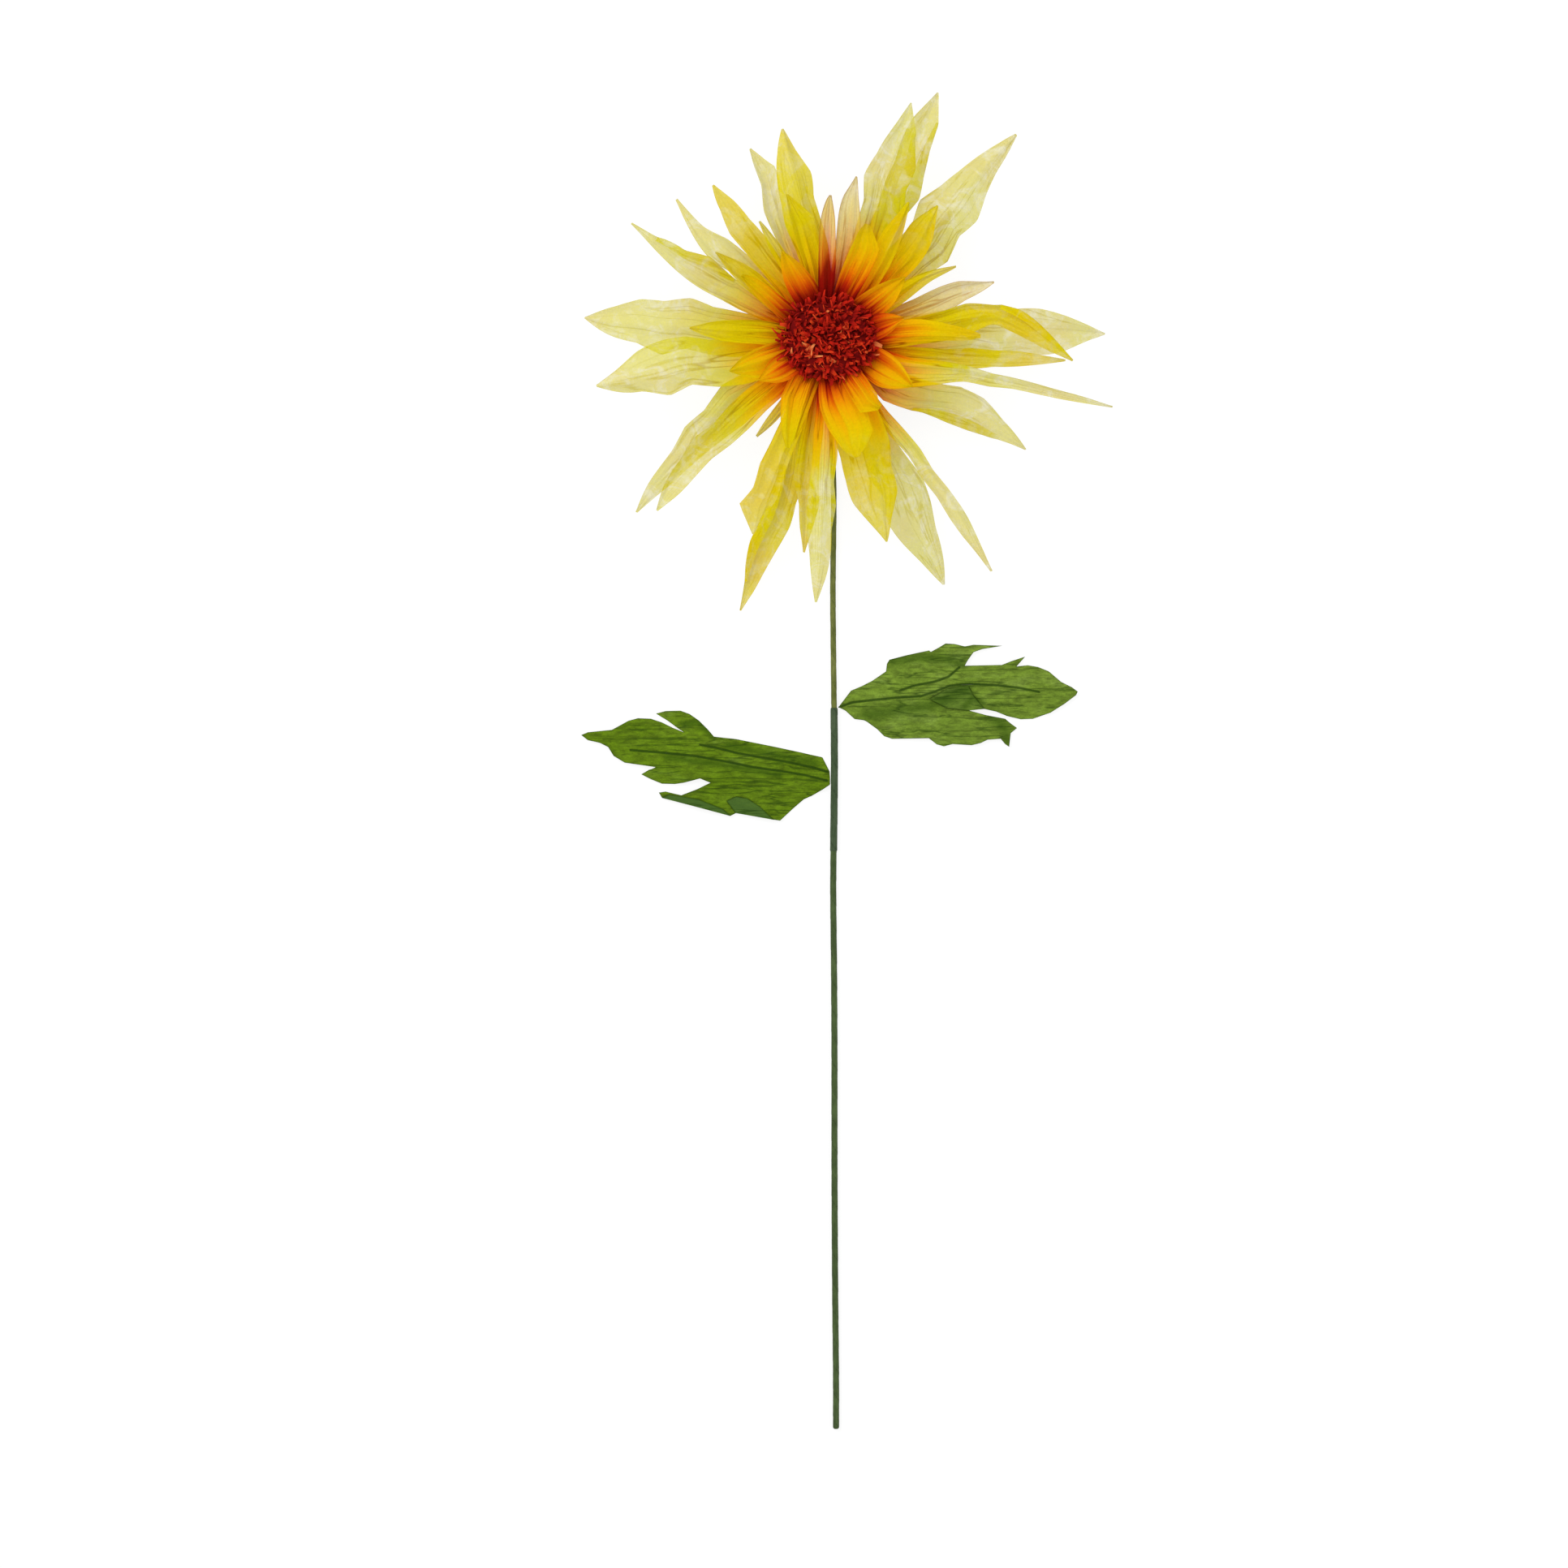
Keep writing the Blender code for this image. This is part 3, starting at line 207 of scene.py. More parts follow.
def thin_lines(tree, field, width):
    """1 on the lines where a noise passes its middle, 0 away from them: creases, fibres and veins."""
    off = add(tree, "Math", {0: field, 1: 0.5}, operation="SUBTRACT")
    off = add(tree, "Math", {0: off}, operation="ABSOLUTE")
    return add(tree, "MapRange", {0: off, 1: 0.0, 2: width, 3: 1.0, 4: 0.0}, interpolation_type="SMOOTHSTEP")


# %% [markdown]
# ## Dyed tissue paper
# The petals are mulberry tissue: long fibres laid down wet, then dyed by hand. The eye sees four things. Light
# comes through, so two petals over each other look twice as deep. The dye is uneven, in patches a centimetre or
# two long. Soft creases run from the root to the tip, and their shade is painted along them. The dye turns from
# red at the root through orange to lemon yellow.
#
# Each petal carries its own numbers for this: the place across the sheet, the distance to the cut edge, how far
# its red dye has run out, which on the north side also paints the shade next to the fringe, and one number that
# moves its patterns, so that no two petals show the same ones.

# %% The tissue's real sizes, in millimetres, and how many folds lie side by side on a petal
DYE_CLOUD = 42.0
DYE_PATCH = 12.0
LONG_FIBRE = 5.0
PAPER_GRAIN = 1.3
CUT_EDGE = 0.5
FOLDS_ACROSS = 4.5
STREAKS_ACROSS = 11.0

# A petal's own number runs from 0 to 1, and this spreads the petals out along the noise of folds and streaks
PATTERN_STEP = 40.0


# %% What the tissue's patterns read
def petal_places(tree):
    """The piece's own numbers, its moved coordinates, and its millimetres from the head's axis."""
    place = add(tree, "TexCoord", out="Object")
    at = {name: add(tree, "Attribute", attribute_name=name, out="Fac")
          for name in ("own_number", "across", "to_edge", "red_and_shade_reach", "to_tip")}
    own = at["own_number"]
    shift = add(tree, "CombineXYZ", {0: own, 1: own, 2: own})
    centred = add(tree, "Mapping", {"Vector": place, "Location": (-HEAD.x, -HEAD.y, 0.0)})
    flat = add(tree, "VectorMath", {0: centred, 1: (1000.0, 1000.0, 0.0)}, operation="MULTIPLY")
    at["moved"] = add(tree, "VectorMath", {0: place, 1: shift}, operation="ADD")
    at["layer"] = add(tree, "Math", {0: own, 1: PATTERN_STEP}, operation="MULTIPLY")
    at["away"] = add(tree, "VectorMath", {0: flat}, out="Value", operation="LENGTH")
    return at


def lengthwise(tree, at, count, along_scale, detail):
    """A noise that changes quickly across a petal and slowly along it."""
    lane = add(tree, "Math", {0: at["across"], 1: count}, operation="MULTIPLY")
    slow = add(tree, "Math", {0: at["away"], 1: along_scale}, operation="MULTIPLY")
    spot = add(tree, "CombineXYZ", {0: lane, 1: slow, 2: at["layer"]})
    return add(tree, "TexNoise", {"Vector": spot, "Scale": 1.0, "Detail": detail, "Roughness": 0.6})


# %% The marks in the paper: folds, streaks, clouds and patches of dye, grain and fibres
def paper_marks(tree, at):
    folds = lengthwise(tree, at, FOLDS_ACROSS, 0.010, 1.0)
    fibres = add(tree, "TexNoise", {"Vector": at["moved"], "Scale": per_metre(LONG_FIBRE), "Detail": 1.0,
                                    "Distortion": 2.5})
    return {
        "folds": folds,
        "crease": thin_lines(tree, folds, 0.026),
        "streaks": lengthwise(tree, at, STREAKS_ACROSS, 0.022, 3.0),
        "cloud": add(tree, "TexNoise", {"Vector": at["moved"], "Scale": per_metre(DYE_CLOUD), "Detail": 2.0}),
        "patch": add(tree, "TexNoise", {"Vector": at["moved"], "Scale": per_metre(DYE_PATCH), "Detail": 5.0,
                                        "Roughness": 0.68, "Distortion": 0.9}),
        "grain": add(tree, "TexNoise", {"Vector": at["moved"], "Scale": per_metre(PAPER_GRAIN),
                                        "Detail": 2.0}),
        "fibre": thin_lines(tree, fibres, 0.022),
    }


# %% The dye: two depths in clouds, and patches away from the heart that took little of it
# Where the poorly dyed patches begin and where they are full, in millimetres from the head's axis
PATCHES_FROM, PATCHES_FULL = 56.0, 100.0


def dyed(tree, at, marks, paper):
    deeper = add(tree, "MapRange", {0: marks["cloud"], 1: 0.35, 2: 0.65}, interpolation_type="SMOOTHSTEP")
    colour = add(tree, "Mix", {0: deeper, 6: linear(paper["body"]), 7: linear(paper["deep"])}, out=2,
                 data_type="RGBA")
    outer = add(tree, "MapRange", {0: at["away"], 1: PATCHES_FROM, 2: PATCHES_FULL},
                interpolation_type="SMOOTHSTEP")
    thin = add(tree, "MapRange", {0: marks["patch"], 1: 0.45, 2: 0.70}, interpolation_type="SMOOTHSTEP")
    thin = add(tree, "Math", {0: thin, 1: outer}, operation="MULTIPLY")
    undyed = add(tree, "Math", {0: marks["fibre"], 1: outer}, operation="MULTIPLY")
    undyed = add(tree, "Math", {0: undyed, 1: 0.22, 2: thin}, operation="MULTIPLY_ADD")
    undyed = add(tree, "Math", {0: undyed, 1: paper["patchy"]}, operation="MULTIPLY")
    return add(tree, "Mix", {0: undyed, 6: colour, 7: linear(paper["bare"])}, out=2, data_type="RGBA"), thin


# %% The heart's red, which ran outwards along the streaks and folds while the paper was wet
# How many millimetres apart the dye ends where a pattern is 0 and where it is 1
CARRIES_DYE = {"streaks": 20.0, "folds": 26.0, "cloud": 18.0}


def with_heart(tree, at, marks, paper, colour):
    stops = paper["heart"]
    reach = stops[-1][0]
    bleed = add(tree, "Math", {0: at["away"], 1: at["red_and_shade_reach"]}, operation="SUBTRACT")
    for mark, millimetres in CARRIES_DYE.items():
        centred = add(tree, "Math", {0: marks[mark], 1: 0.5}, operation="SUBTRACT")
        bleed = add(tree, "Math", {0: centred, 1: millimetres, 2: bleed}, operation="MULTIPLY_ADD")
    share = add(tree, "Math", {0: bleed, 1: reach}, operation="DIVIDE")
    warm = add(tree, "ValToRGB", {0: share}, stops=[(mm / reach, linear(code)) for mm, code in stops])
    faded = add(tree, "MapRange", {0: bleed, 1: stops[-2][0], 2: reach}, interpolation_type="SMOOTHSTEP")
    return add(tree, "Mix", {0: faded, 6: warm, 7: colour}, out=2, data_type="RGBA")


# %% Tissue paper, put together
# The share of a sheet's alpha that its shadow keeps
SHADOW_LEFT = 0.14


def tissue(paper):
    """Hand-dyed tissue: matt, with light coming through. How much one face hides is its alpha, and each sheet
    has two. Its shadow is much fainter than that, because tissue passes on most of its light."""
    def patterns(tree):
        at = petal_places(tree)
        marks = paper_marks(tree, at)
        colour, thin = dyed(tree, at, marks, paper)
        colour = with_heart(tree, at, marks, paper, colour)

        rim = add(tree, "MapRange", {0: at["to_edge"], 1: 0.3 * CUT_EDGE, 2: CUT_EDGE, 3: paper["rim"],
                                     4: 0.0}, interpolation_type="SMOOTHSTEP")
        veins = add(tree, "Math", {0: marks["fibre"], 1: paper["veined"]}, operation="MULTIPLY")
        # Where painted shade lies along the creases, and where the veins and the cut edge are darker
        crease_shade_veins_and_rim = add(tree, "Math", {0: marks["crease"], 1: rim}, operation="MAXIMUM")
        crease_shade_veins_and_rim = add(tree, "Math", {0: crease_shade_veins_and_rim, 1: veins}, operation="MAXIMUM")
        near = add(tree, "MapRange", {0: at["to_tip"], 1: 0.05, 2: 0.60, 3: 1.0, 4: paper["outer_creases"]})
        amount = add(tree, "Math", {0: crease_shade_veins_and_rim, 1: near}, operation="MULTIPLY")
        amount = add(tree, "Math", {0: amount, 1: paper["crease_shade_and_vein_strength"]}, operation="MULTIPLY", use_clamp=True)
        # The crease colour paints that shade into the creases, and darkens the veins and the cut edge
        colour = add(tree, "Mix", {0: amount, 6: colour, 7: linear(paper["crease"])}, out=2, data_type="RGBA",
                     blend_type="MULTIPLY")
        grey = add(tree, "MapRange", {0: marks["grain"], 1: 0.3, 2: 0.7, 3: 0.94, 4: 1.05})
        colour = add(tree, "VectorMath", {0: colour, 1: grey}, operation="MULTIPLY")

        begins, ends = paper["fades"]
        hides = add(tree, "MapRange", {0: at["to_tip"], 1: begins, 2: ends, 3: paper["root"],
                                       4: paper["tip"]})
        hides = add(tree, "Math", {0: thin, 1: -0.07, 2: hides}, operation="MULTIPLY_ADD")
        hides = add(tree, "Math", {0: crease_shade_veins_and_rim, 1: 0.14, 2: hides}, operation="MULTIPLY_ADD")
        shadow = add(tree, "LightPath", out="Is Shadow Ray")
        faint = add(tree, "Math", {0: shadow, 1: SHADOW_LEFT - 1.0, 2: 1.0}, operation="MULTIPLY_ADD")
        hides = add(tree, "Math", {0: hides, 1: faint}, operation="MULTIPLY")

        relief = add(tree, "Math", {0: marks["crease"], 1: -0.7, 2: marks["patch"]}, operation="MULTIPLY_ADD")
        relief = add(tree, "Math", {0: marks["streaks"], 1: 0.6, 2: relief}, operation="MULTIPLY_ADD")
        relief = add(tree, "Math", {0: marks["grain"], 1: 0.2, 2: relief}, operation="MULTIPLY_ADD")
        bump = add(tree, "Bump", {"Height": relief, "Strength": 0.4, "Distance": 0.0006})
        return {"Base Color": colour, "Alpha": hides, "Normal": bump}

    return new_material(paper["name"], patterns, {"Roughness": 0.88, "Specular IOR Level": 0.05})


# %% The four tissues of this flower
# Each dye lists colours by millimetres from the head's axis, less how far that petal's red ran out. A paper's
# root and tip say how much one face hides there, and fades says where on the way it goes from one to the other.
HEART_DYE = ((0.0, "#7A0604"), (26.0, "#960F05"), (30.0, "#B22404"), (34.0, "#D04A02"), (40.0, "#E27C00"),
             (49.0, "#E6A600"), (61.0, "#E0BC00"), (80.0, "#D8C400"))
ROSE_DYE = ((0.0, "#7A0604"), (24.0, "#980F05"), (29.0, "#C4480C"), (38.0, "#E09420"), (50.0, "#E0B838"),
            (64.0, "#DEC854"), (84.0, "#DACC7C"))
# A paper's crease colour and its strength paint shade along its creases, and also darken its veins and cut edge
LEMON = {"name": "lemon tissue paper, hand dyed", "body": "#D2CA00", "deep": "#D2C200", "bare": "#DEDAB0",
         "heart": HEART_DYE, "crease": "#A05400", "crease_shade_and_vein_strength": 0.80, "outer_creases": 0.12, "rim": 0.2,
         "veined": 0.0, "patchy": 0.62, "tip": 0.50, "root": 0.92, "fades": (0.08, 0.60)}
papers = {
    "pale_petal_paper": LEMON,
    "yellow_petal_paper": {**LEMON, "name": "yellow tissue paper, hand dyed", "body": "#D8CA00",
                           "deep": "#D8C000", "bare": "#DCD280", "tip": 0.68,
                           "fades": (0.20, 0.90)},
    "orange_petal_paper": {**LEMON, "name": "golden tissue paper, hand dyed", "body": "#DAC800",
                           "deep": "#DAB800", "bare": "#DECE68", "tip": 0.74,
                           "fades": (0.25, 0.95)},
    "rose_petal_paper": {**LEMON, "name": "rose tissue paper, hand dyed", "body": "#DCD08A",
                         "deep": "#DAC664", "bare": "#EADFC0", "heart": ROSE_DYE, "crease": "#CC9024",
                         "crease_shade_and_vein_strength": 0.62, "outer_creases": 0.9, "rim": 0.9, "veined": 0.6, "tip": 0.60,
                         "root": 0.92},
}
tissues = {slot: tissue(paper) for slot, paper in papers.items()}
print(len(tissues), "tissue papers")


# %% [markdown]
# ## Petals
# A real petal is one cut of tissue, gathered at the root and creased by the maker's fingers. Its solid
# already has the right outline and height, but it is thick and flat between its folds. So we take a copy of
# the solid, keep its upper skin, join its triangles back to quads and subdivide them. Corners where the
# scissors turned stay sharp. Then we press in creases and give the sheet its real thickness with Solidify.
# Building each petal from a new grid would mean tracing every outline twice.

# %% The upper skin of a sheet's solid
SOLID_SHEET = {"petal": 0.35 * MM, "leaf": 0.40 * MM}
SHEET_SLACK = 0.0007 * MM
MERGE_WITHIN = 0.004 * MM


def linked_groups(mesh):
    """The mesh's faces in groups that hang together by their edges."""
    groups = []
    waiting = set(mesh.faces)
    while waiting:
        first = waiting.pop()
        group = {first}
        to_visit = [first]
        while to_visit:
            for edge in to_visit.pop().edges:
                fresh = [face for face in edge.link_faces if face in waiting]
                waiting.difference_update(fresh)
                group.update(fresh)
                to_visit.extend(fresh)
        groups.append(group)
    return groups


def upper_skin(node_name, name, sheet):
    """A copy of a node, cut down to the upper of its two skins. The edge's strip is found by its width."""
    skin = bpy.data.objects.new(name, frame["nodes"][node_name].data.copy())
    skin.data.materials.clear()
    bpy.context.collection.objects.link(skin)
    edit(skin)
    bpy.ops.mesh.select_all(action="SELECT")
    bpy.ops.mesh.remove_doubles(threshold=MERGE_WITHIN)
    bpy.ops.mesh.select_all(action="DESELECT")
    bpy.ops.mesh.select_mode(type="FACE")
    mesh = bmesh.from_edit_mesh(skin.data)
    for edge in mesh.edges:
        if abs(edge.calc_length() - sheet) < SHEET_SLACK:
            for face in edge.link_faces:
                face.select = True
    bmesh.update_edit_mesh(skin.data)
    bpy.ops.mesh.delete(type="FACE")
    mesh = bmesh.from_edit_mesh(skin.data)
    groups = linked_groups(mesh)
    top = max(groups, key=lambda group: sum(face.normal.z * face.calc_area() for face in group))
    for face in mesh.faces:
        face.select = face not in top
    bmesh.update_edit_mesh(skin.data)
    bpy.ops.mesh.delete(type="FACE")
    bpy.ops.mesh.select_all(action="SELECT")
    bpy.ops.mesh.delete_loose()
    bpy.ops.mesh.select_all(action="SELECT")
    bpy.ops.mesh.tris_convert_to_quads(face_threshold=math.pi, shape_threshold=math.pi)
    leave_edit()
    if len(groups) != 2:
        raise ValueError(f"{node_name} has {len(groups)} skins")
    return skin


# %% Keeping the corners that the scissors cut
CORNER_TURN = math.radians(27)


def keep_corners(piece):
    """Gives the outline's corners a full crease, so that subdividing doesn't round them off."""
    mesh = edit(piece)
    for vert in mesh.verts:
        ends = [edge.other_vert(vert).co for edge in vert.link_edges if edge.is_boundary]
        if len(ends) == 2:
            turn = (ends[0] - vert.co).angle(vert.co - ends[1], 0.0)
            vert.select = turn > CORNER_TURN
    count = sum(vert.select for vert in mesh.verts)
    bmesh.update_edit_mesh(piece.data)
    if count:
        bpy.ops.transform.vert_crease(value=1.0)
    leave_edit()
    return count


# %% The outline, and distances to a line
LINE_STEP = 0.3 * MM


def outline_loop(piece):
    """The open border's points, in order."""
    mesh = bmesh.new()
    mesh.from_mesh(piece.data)
    start = next(edge for edge in mesh.edges if edge.is_boundary).verts[0]
    line, here, before = [start.co[:]], start, None
    while True:
        before = next(e for e in here.link_edges if e.is_boundary and e is not before)
        here = before.other_vert(here)
        if here is start:
            break
        line.append(here.co[:])
    mesh.free()
    return np.array(line)


def distances(points, line):
    """The distance in plan from each point to a line. The line is filled in first, so that its points don't
    show as beads."""
    filled = []
    for a, b in zip(line, line[1:]):
        count = max(1, math.ceil(math.hypot(b[0] - a[0], b[1] - a[1]) / LINE_STEP))
        filled += [(a[0] + (b[0] - a[0]) * k / count, a[1] + (b[1] - a[1]) * k / count, 0.0)
                   for k in range(count)]
    filled.append((line[-1][0], line[-1][1], 0.0))
    tree = kdtree.KDTree(len(filled))
    for index, spot in enumerate(filled):
        tree.insert(spot, index)
    tree.balance()
    return np.array([tree.find((x, y, 0.0))[2] for x, y in points[:, :2]])


# %% A petal's two edges, seen from the head's axis
class PetalShape:
    """The petal's direction, and its two edges as angles for each distance from the axis."""

    def __init__(self, loop):
        middle = loop.mean(axis=0)
        self.aim = math.atan2(middle[1] - HEAD.y, middle[0] - HEAD.x)
        away, turn = self.polar(loop)
        root, tip = int(away.argmin()), int(away.argmax())
        low, high = sorted((root, tip))
        self.sides = (loop[low:high + 1], np.vstack([loop[high:], loop[:low + 1]]))
        self.radii = np.linspace(away.min(), away.max(), 80)
        edges = []
        for side in self.sides:
            side_away, side_turn = self.polar(side)
            order = np.argsort(side_away)
            edges.append(np.interp(self.radii, side_away[order], side_turn[order]))
        self.middle = 0.5 * (edges[0] + edges[1])
        self.half = np.maximum(0.5 * np.abs(edges[0] - edges[1]) * self.radii, 0.3 * MM)

    def polar(self, points):
        away = np.hypot(points[:, 0] - HEAD.x, points[:, 1] - HEAD.y)
        turn = np.arctan2(points[:, 1] - HEAD.y, points[:, 0] - HEAD.x) - self.aim
        return away, (turn + math.pi) % (2 * math.pi) - math.pi


# %% Opening the root: a real petal leaves the heart as a broad strap
ROOT_FILL = 0.55
TIP_FILL = 0.40
MOST_GAIN = 2.8
UNEVEN_CUT = 0.17
SNIP = 15.0 * MM


def opened(points, shape, tip_fill, seed):
    """Widens a petal between the heart and its widest place, and past it by tip_fill. The cut also goes in
    and out a little on each side, straight from one snip of the scissors to the next. Returns the points and
    each one's place from one edge (-1) to the other (1)."""
    away, turn = shape.polar(points)
    widest = int(shape.half.argmax())
    lack = shape.half.max() - shape.half
    beyond = np.clip((shape.radii - shape.radii[widest]) / (shape.radii[-1] - shape.radii[widest] + MM), 0, 1)
    fill = np.where(np.arange(len(lack)) < widest, ROOT_FILL, tip_fill * (1 - beyond ** 4))
    gain = np.clip(1 + fill * lack / shape.half, 1, MOST_GAIN)
    middle = np.interp(away, shape.radii, shape.middle)
    snips = np.arange(shape.radii[0], shape.radii[-1] + SNIP, SNIP)
    wander = [np.interp(away, snips, [math.sin(2.6 * k * k + seed + side) for k in range(len(snips))])
              for side in (0.0, 2.0)]
    gain = np.interp(away, shape.radii, gain) * (1 + UNEVEN_CUT * np.where(turn < middle, *wander))
    turned = middle + (turn - middle) * gain
    place = (turn - middle) * away / np.interp(away, shape.radii, shape.half)
    points[:, 0] = HEAD.x + away * np.cos(shape.aim + turned)
    points[:, 1] = HEAD.y + away * np.sin(shape.aim + turned)
    return points, np.clip(place, -1, 1)


# %% Pressing the creases
FOLD_WAVES = {"back": 2.4, "long": 2.4, "middle": 2.0, "short": 1.8, "inner": 1.5}
FOLD_HEIGHT = 1.4
LAP_HEIGHT = 1.4

# In millimetres: folds fade over the second length, which ends at the first from the axis, to a least share
FOLDS_END = 115.0
FOLDS_FADE = 75.0
LEAST_FOLD = 0.16

# Slow bumps in the paper: how long each is, and how high in millimetres
WIDE_BUMP, WIDE_HEIGHT = 19 * MM, 1.1
SMALL_BUMP, SMALL_HEIGHT = 6 * MM, 0.22


def press_creases(points, across, place, waves, phase):
    """Moves a petal's points up and down: one edge over its neighbour's, lengthwise folds, and slow bumps."""
    away = np.hypot(points[:, 0] - HEAD.x, points[:, 1] - HEAD.y) / MM
    near = np.clip((FOLDS_END - away) / FOLDS_FADE, LEAST_FOLD, 1.0)
    turn = waves * across + 0.08 * np.sin(away / 19.0 + phase) + 0.3 * phase
    folds = 4 * np.abs(turn - np.floor(turn + 0.5)) - 1
    body = np.clip(4 * across * (1 - across), 0, 1)
    lift = FOLD_HEIGHT * near * folds * (0.35 + 0.65 * body) + LAP_HEIGHT * near * place
    for i, point in enumerate(points):
        wide = noise.noise(Vector(point) / WIDE_BUMP + Vector((phase, 0, 0)))
        small = noise.noise(Vector(point) / SMALL_BUMP + Vector((0, phase, 0)))
        rise = lift[i] + WIDE_HEIGHT * wide + SMALL_HEIGHT * small
        points[i, 2] += rise * MM * min(away[i] / 30.0, 1.0)
    return points


# %% How far the heart's red ran out in each direction, in millimetres. Its further reach to the north partly paints the dark red shade next to the fringe
# The yellow paper and the petals half hidden under the fringe took less of it, and one rose petal on the north
# side took more, which also paints the shade there
HALF_HIDDEN = ("short_petal_07", "short_petal_08", "short_petal_09", "short_petal_10", "inner_petal_02",
               "inner_petal_03")
GOLDEN_ROSE_PETAL = "short_petal_03"
YELLOW_HOLDS_BACK = 11.0
HIDDEN_HOLDS_BACK = 3.0
GOLDEN_EXTRA_RED_AND_SHADE = 10.0


def red_and_shade_reach(aim, node_name, index):
    # The aim's terms set how far the red runs out to each side; the extra reach to the north is partly painted
    # shade next to the fringe
    spread = 2.0 + 4.5 * math.cos(aim) - 3.5 * math.cos(2 * aim) + 3.0 * math.sin(2.3 * index)
    if slot_of[node_name] == "yellow_petal_paper":
        spread -= YELLOW_HOLDS_BACK
    if node_name in HALF_HIDDEN:
        spread -= HIDDEN_HOLDS_BACK
    if node_name == GOLDEN_ROSE_PETAL:
        spread += GOLDEN_EXTRA_RED_AND_SHADE
    return spread


# %% One petal
PETAL_TISSUE = 0.12 * MM
ROLL_RIM = 27.0 * MM
FLOOR_GAP = 0.1 * MM
SUBDIVISIONS = 3


def make_petal(index, node_name):
    """One petal, from its solid's upper skin to a closed sheet of tissue."""
    petal = upper_skin(node_name, node_name + "_tissue", SOLID_SHEET["petal"])
    keep_corners(petal)
    apply_modifier(petal, "SUBSURF", levels=SUBDIVISIONS, render_levels=SUBDIVISIONS)
    kind = node_name.split("_")[0]
    shape = PetalShape(outline_loop(petal))
    points = positions(petal)
    sides = [distances(points, side) for side in shape.sides]
    across = sides[0] / np.maximum(sides[0] + sides[1], 0.01 * MM)
    blunt = kind in ("short", "inner") and node_name not in HALF_HIDDEN
    points, place = opened(points, shape, TIP_FILL if blunt else 0.0, 1.7 * index)
    set_positions(petal, press_creases(points, across, place, FOLD_WAVES[kind], 1.9 * index))
    note(petal, "across", across)
    note(petal, "to_edge", np.minimum(*sides) / MM)
    note(petal, "own_number", np.full(len(points), (0.37 * index) % 1.0))
    note(petal, "red_and_shade_reach", np.full(len(points), red_and_shade_reach(shape.aim, node_name, index)))
    note(petal, "to_tip", (shape.polar(points)[0] - ROLL_RIM) / (shape.radii[-1] - ROLL_RIM))
    apply_modifier(petal, "SOLIDIFY", thickness=PETAL_TISSUE, offset=0.0, use_rim=True)
    points = positions(petal)
    points[:, 2] = np.maximum(points[:, 2], FLOOR_GAP)
    set_positions(petal, points)
    shade(petal, 40)
    return petal


# %% Every petal
petal_faces = 0
for index, node_name in enumerate(petal_names):
    petal = make_petal(index, node_name)
    stands_for(petal, node_name, tissues[slot_of[node_name]])
    petal_faces += len(petal.data.polygons)
print(len(petal_names), "petals,", petal_faces, "faces")


# %% [markdown]
# ## The heart: a roll of fringed paper
# The real heart is a long strip of red paper, cut into a fringe along one edge and rolled up round the wire, so
# that the cut ends flare and curl. The roll itself is hardly seen, so a ring drawn up in steps is enough for
# it. The fringe is what shows. We curl a few strips and copy them several hundred times over the roll, upright
# in the middle and leaning out at the rim, each turned and dyed a little differently. A sunflower's spiral
# spreads them evenly. Each strip has few faces, because there are so many.

# %% Red crepe paper: matt, deep crimson towards each strip's base as painted shade, with paler orange towards its cut end as a painted highlight
def red_crepe(tree):
    tone = add(tree, "Attribute", attribute_name="tone", out="Fac")
    along = add(tree, "Attribute", attribute_name="along", out="Fac")
    place = add(tree, "TexCoord", out="Object")
    grain = add(tree, "TexNoise", {"Vector": place, "Scale": per_metre(1.6), "Detail": 3.0})
    # Painted light along each strip: shade towards its base and a highlight towards its cut end, broken up by
    # the grain
    end = add(tree, "Math", {0: grain, 1: 0.35, 2: along}, operation="MULTIPLY_ADD")
    end = add(tree, "MapRange", {0: end, 1: 0.40, 2: 1.0}, interpolation_type="SMOOTHSTEP")
    # The colours of the painted shade
    low = add(tree, "ValToRGB", {0: tone}, stops=((0.0, linear("#600303")), (0.55, linear("#8A0805")),
                                                  (0.95, linear("#A41206"))))
    # The colours of the painted highlight
    high = add(tree, "ValToRGB", {0: tone}, stops=((0.0, linear("#860804")), (0.5, linear("#BE1E0A")),
                                                   (0.80, linear("#D44418")), (0.97, linear("#E68448"))))
    colour = add(tree, "Mix", {0: end, 6: low, 7: high}, out=2, data_type="RGBA")
    bump = add(tree, "Bump", {"Height": grain, "Strength": 0.4, "Distance": 0.0004})
    return {"Base Color": colour, "Normal": bump}


red_paper = new_material("red crepe paper, cut and curled", red_crepe,
                         {"Roughness": 0.85, "Specular IOR Level": 0.1})

# %% The roll: a ring drawn up, flared to the rim and closed over
fringe_low, fringe_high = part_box("fringe_centre")
ROLL_RADIUS = 0.5 * (roll_high[0] - roll_low[0])
RIM_SHARE = 0.465
RIM_WIDE = RIM_SHARE * (fringe_high[0] - fringe_low[0])
RIM_DEEP = RIM_SHARE * (fringe_high[1] - fringe_low[1])
FRINGE_HEIGHT = fringe_high[2] - fringe_low[2]
ROLL_SIDES = 72

# Shares of the fringe's height, and of the way from the roll's radius to the rim's
ROLL_RINGS = ((0.20, 0.0), (0.40, 0.02), (0.50, 0.20), (0.58, 0.46), (0.65, 0.70), (0.70, 0.84),
              (0.735, 0.78), (0.75, 0.55), (0.76, 0.20))

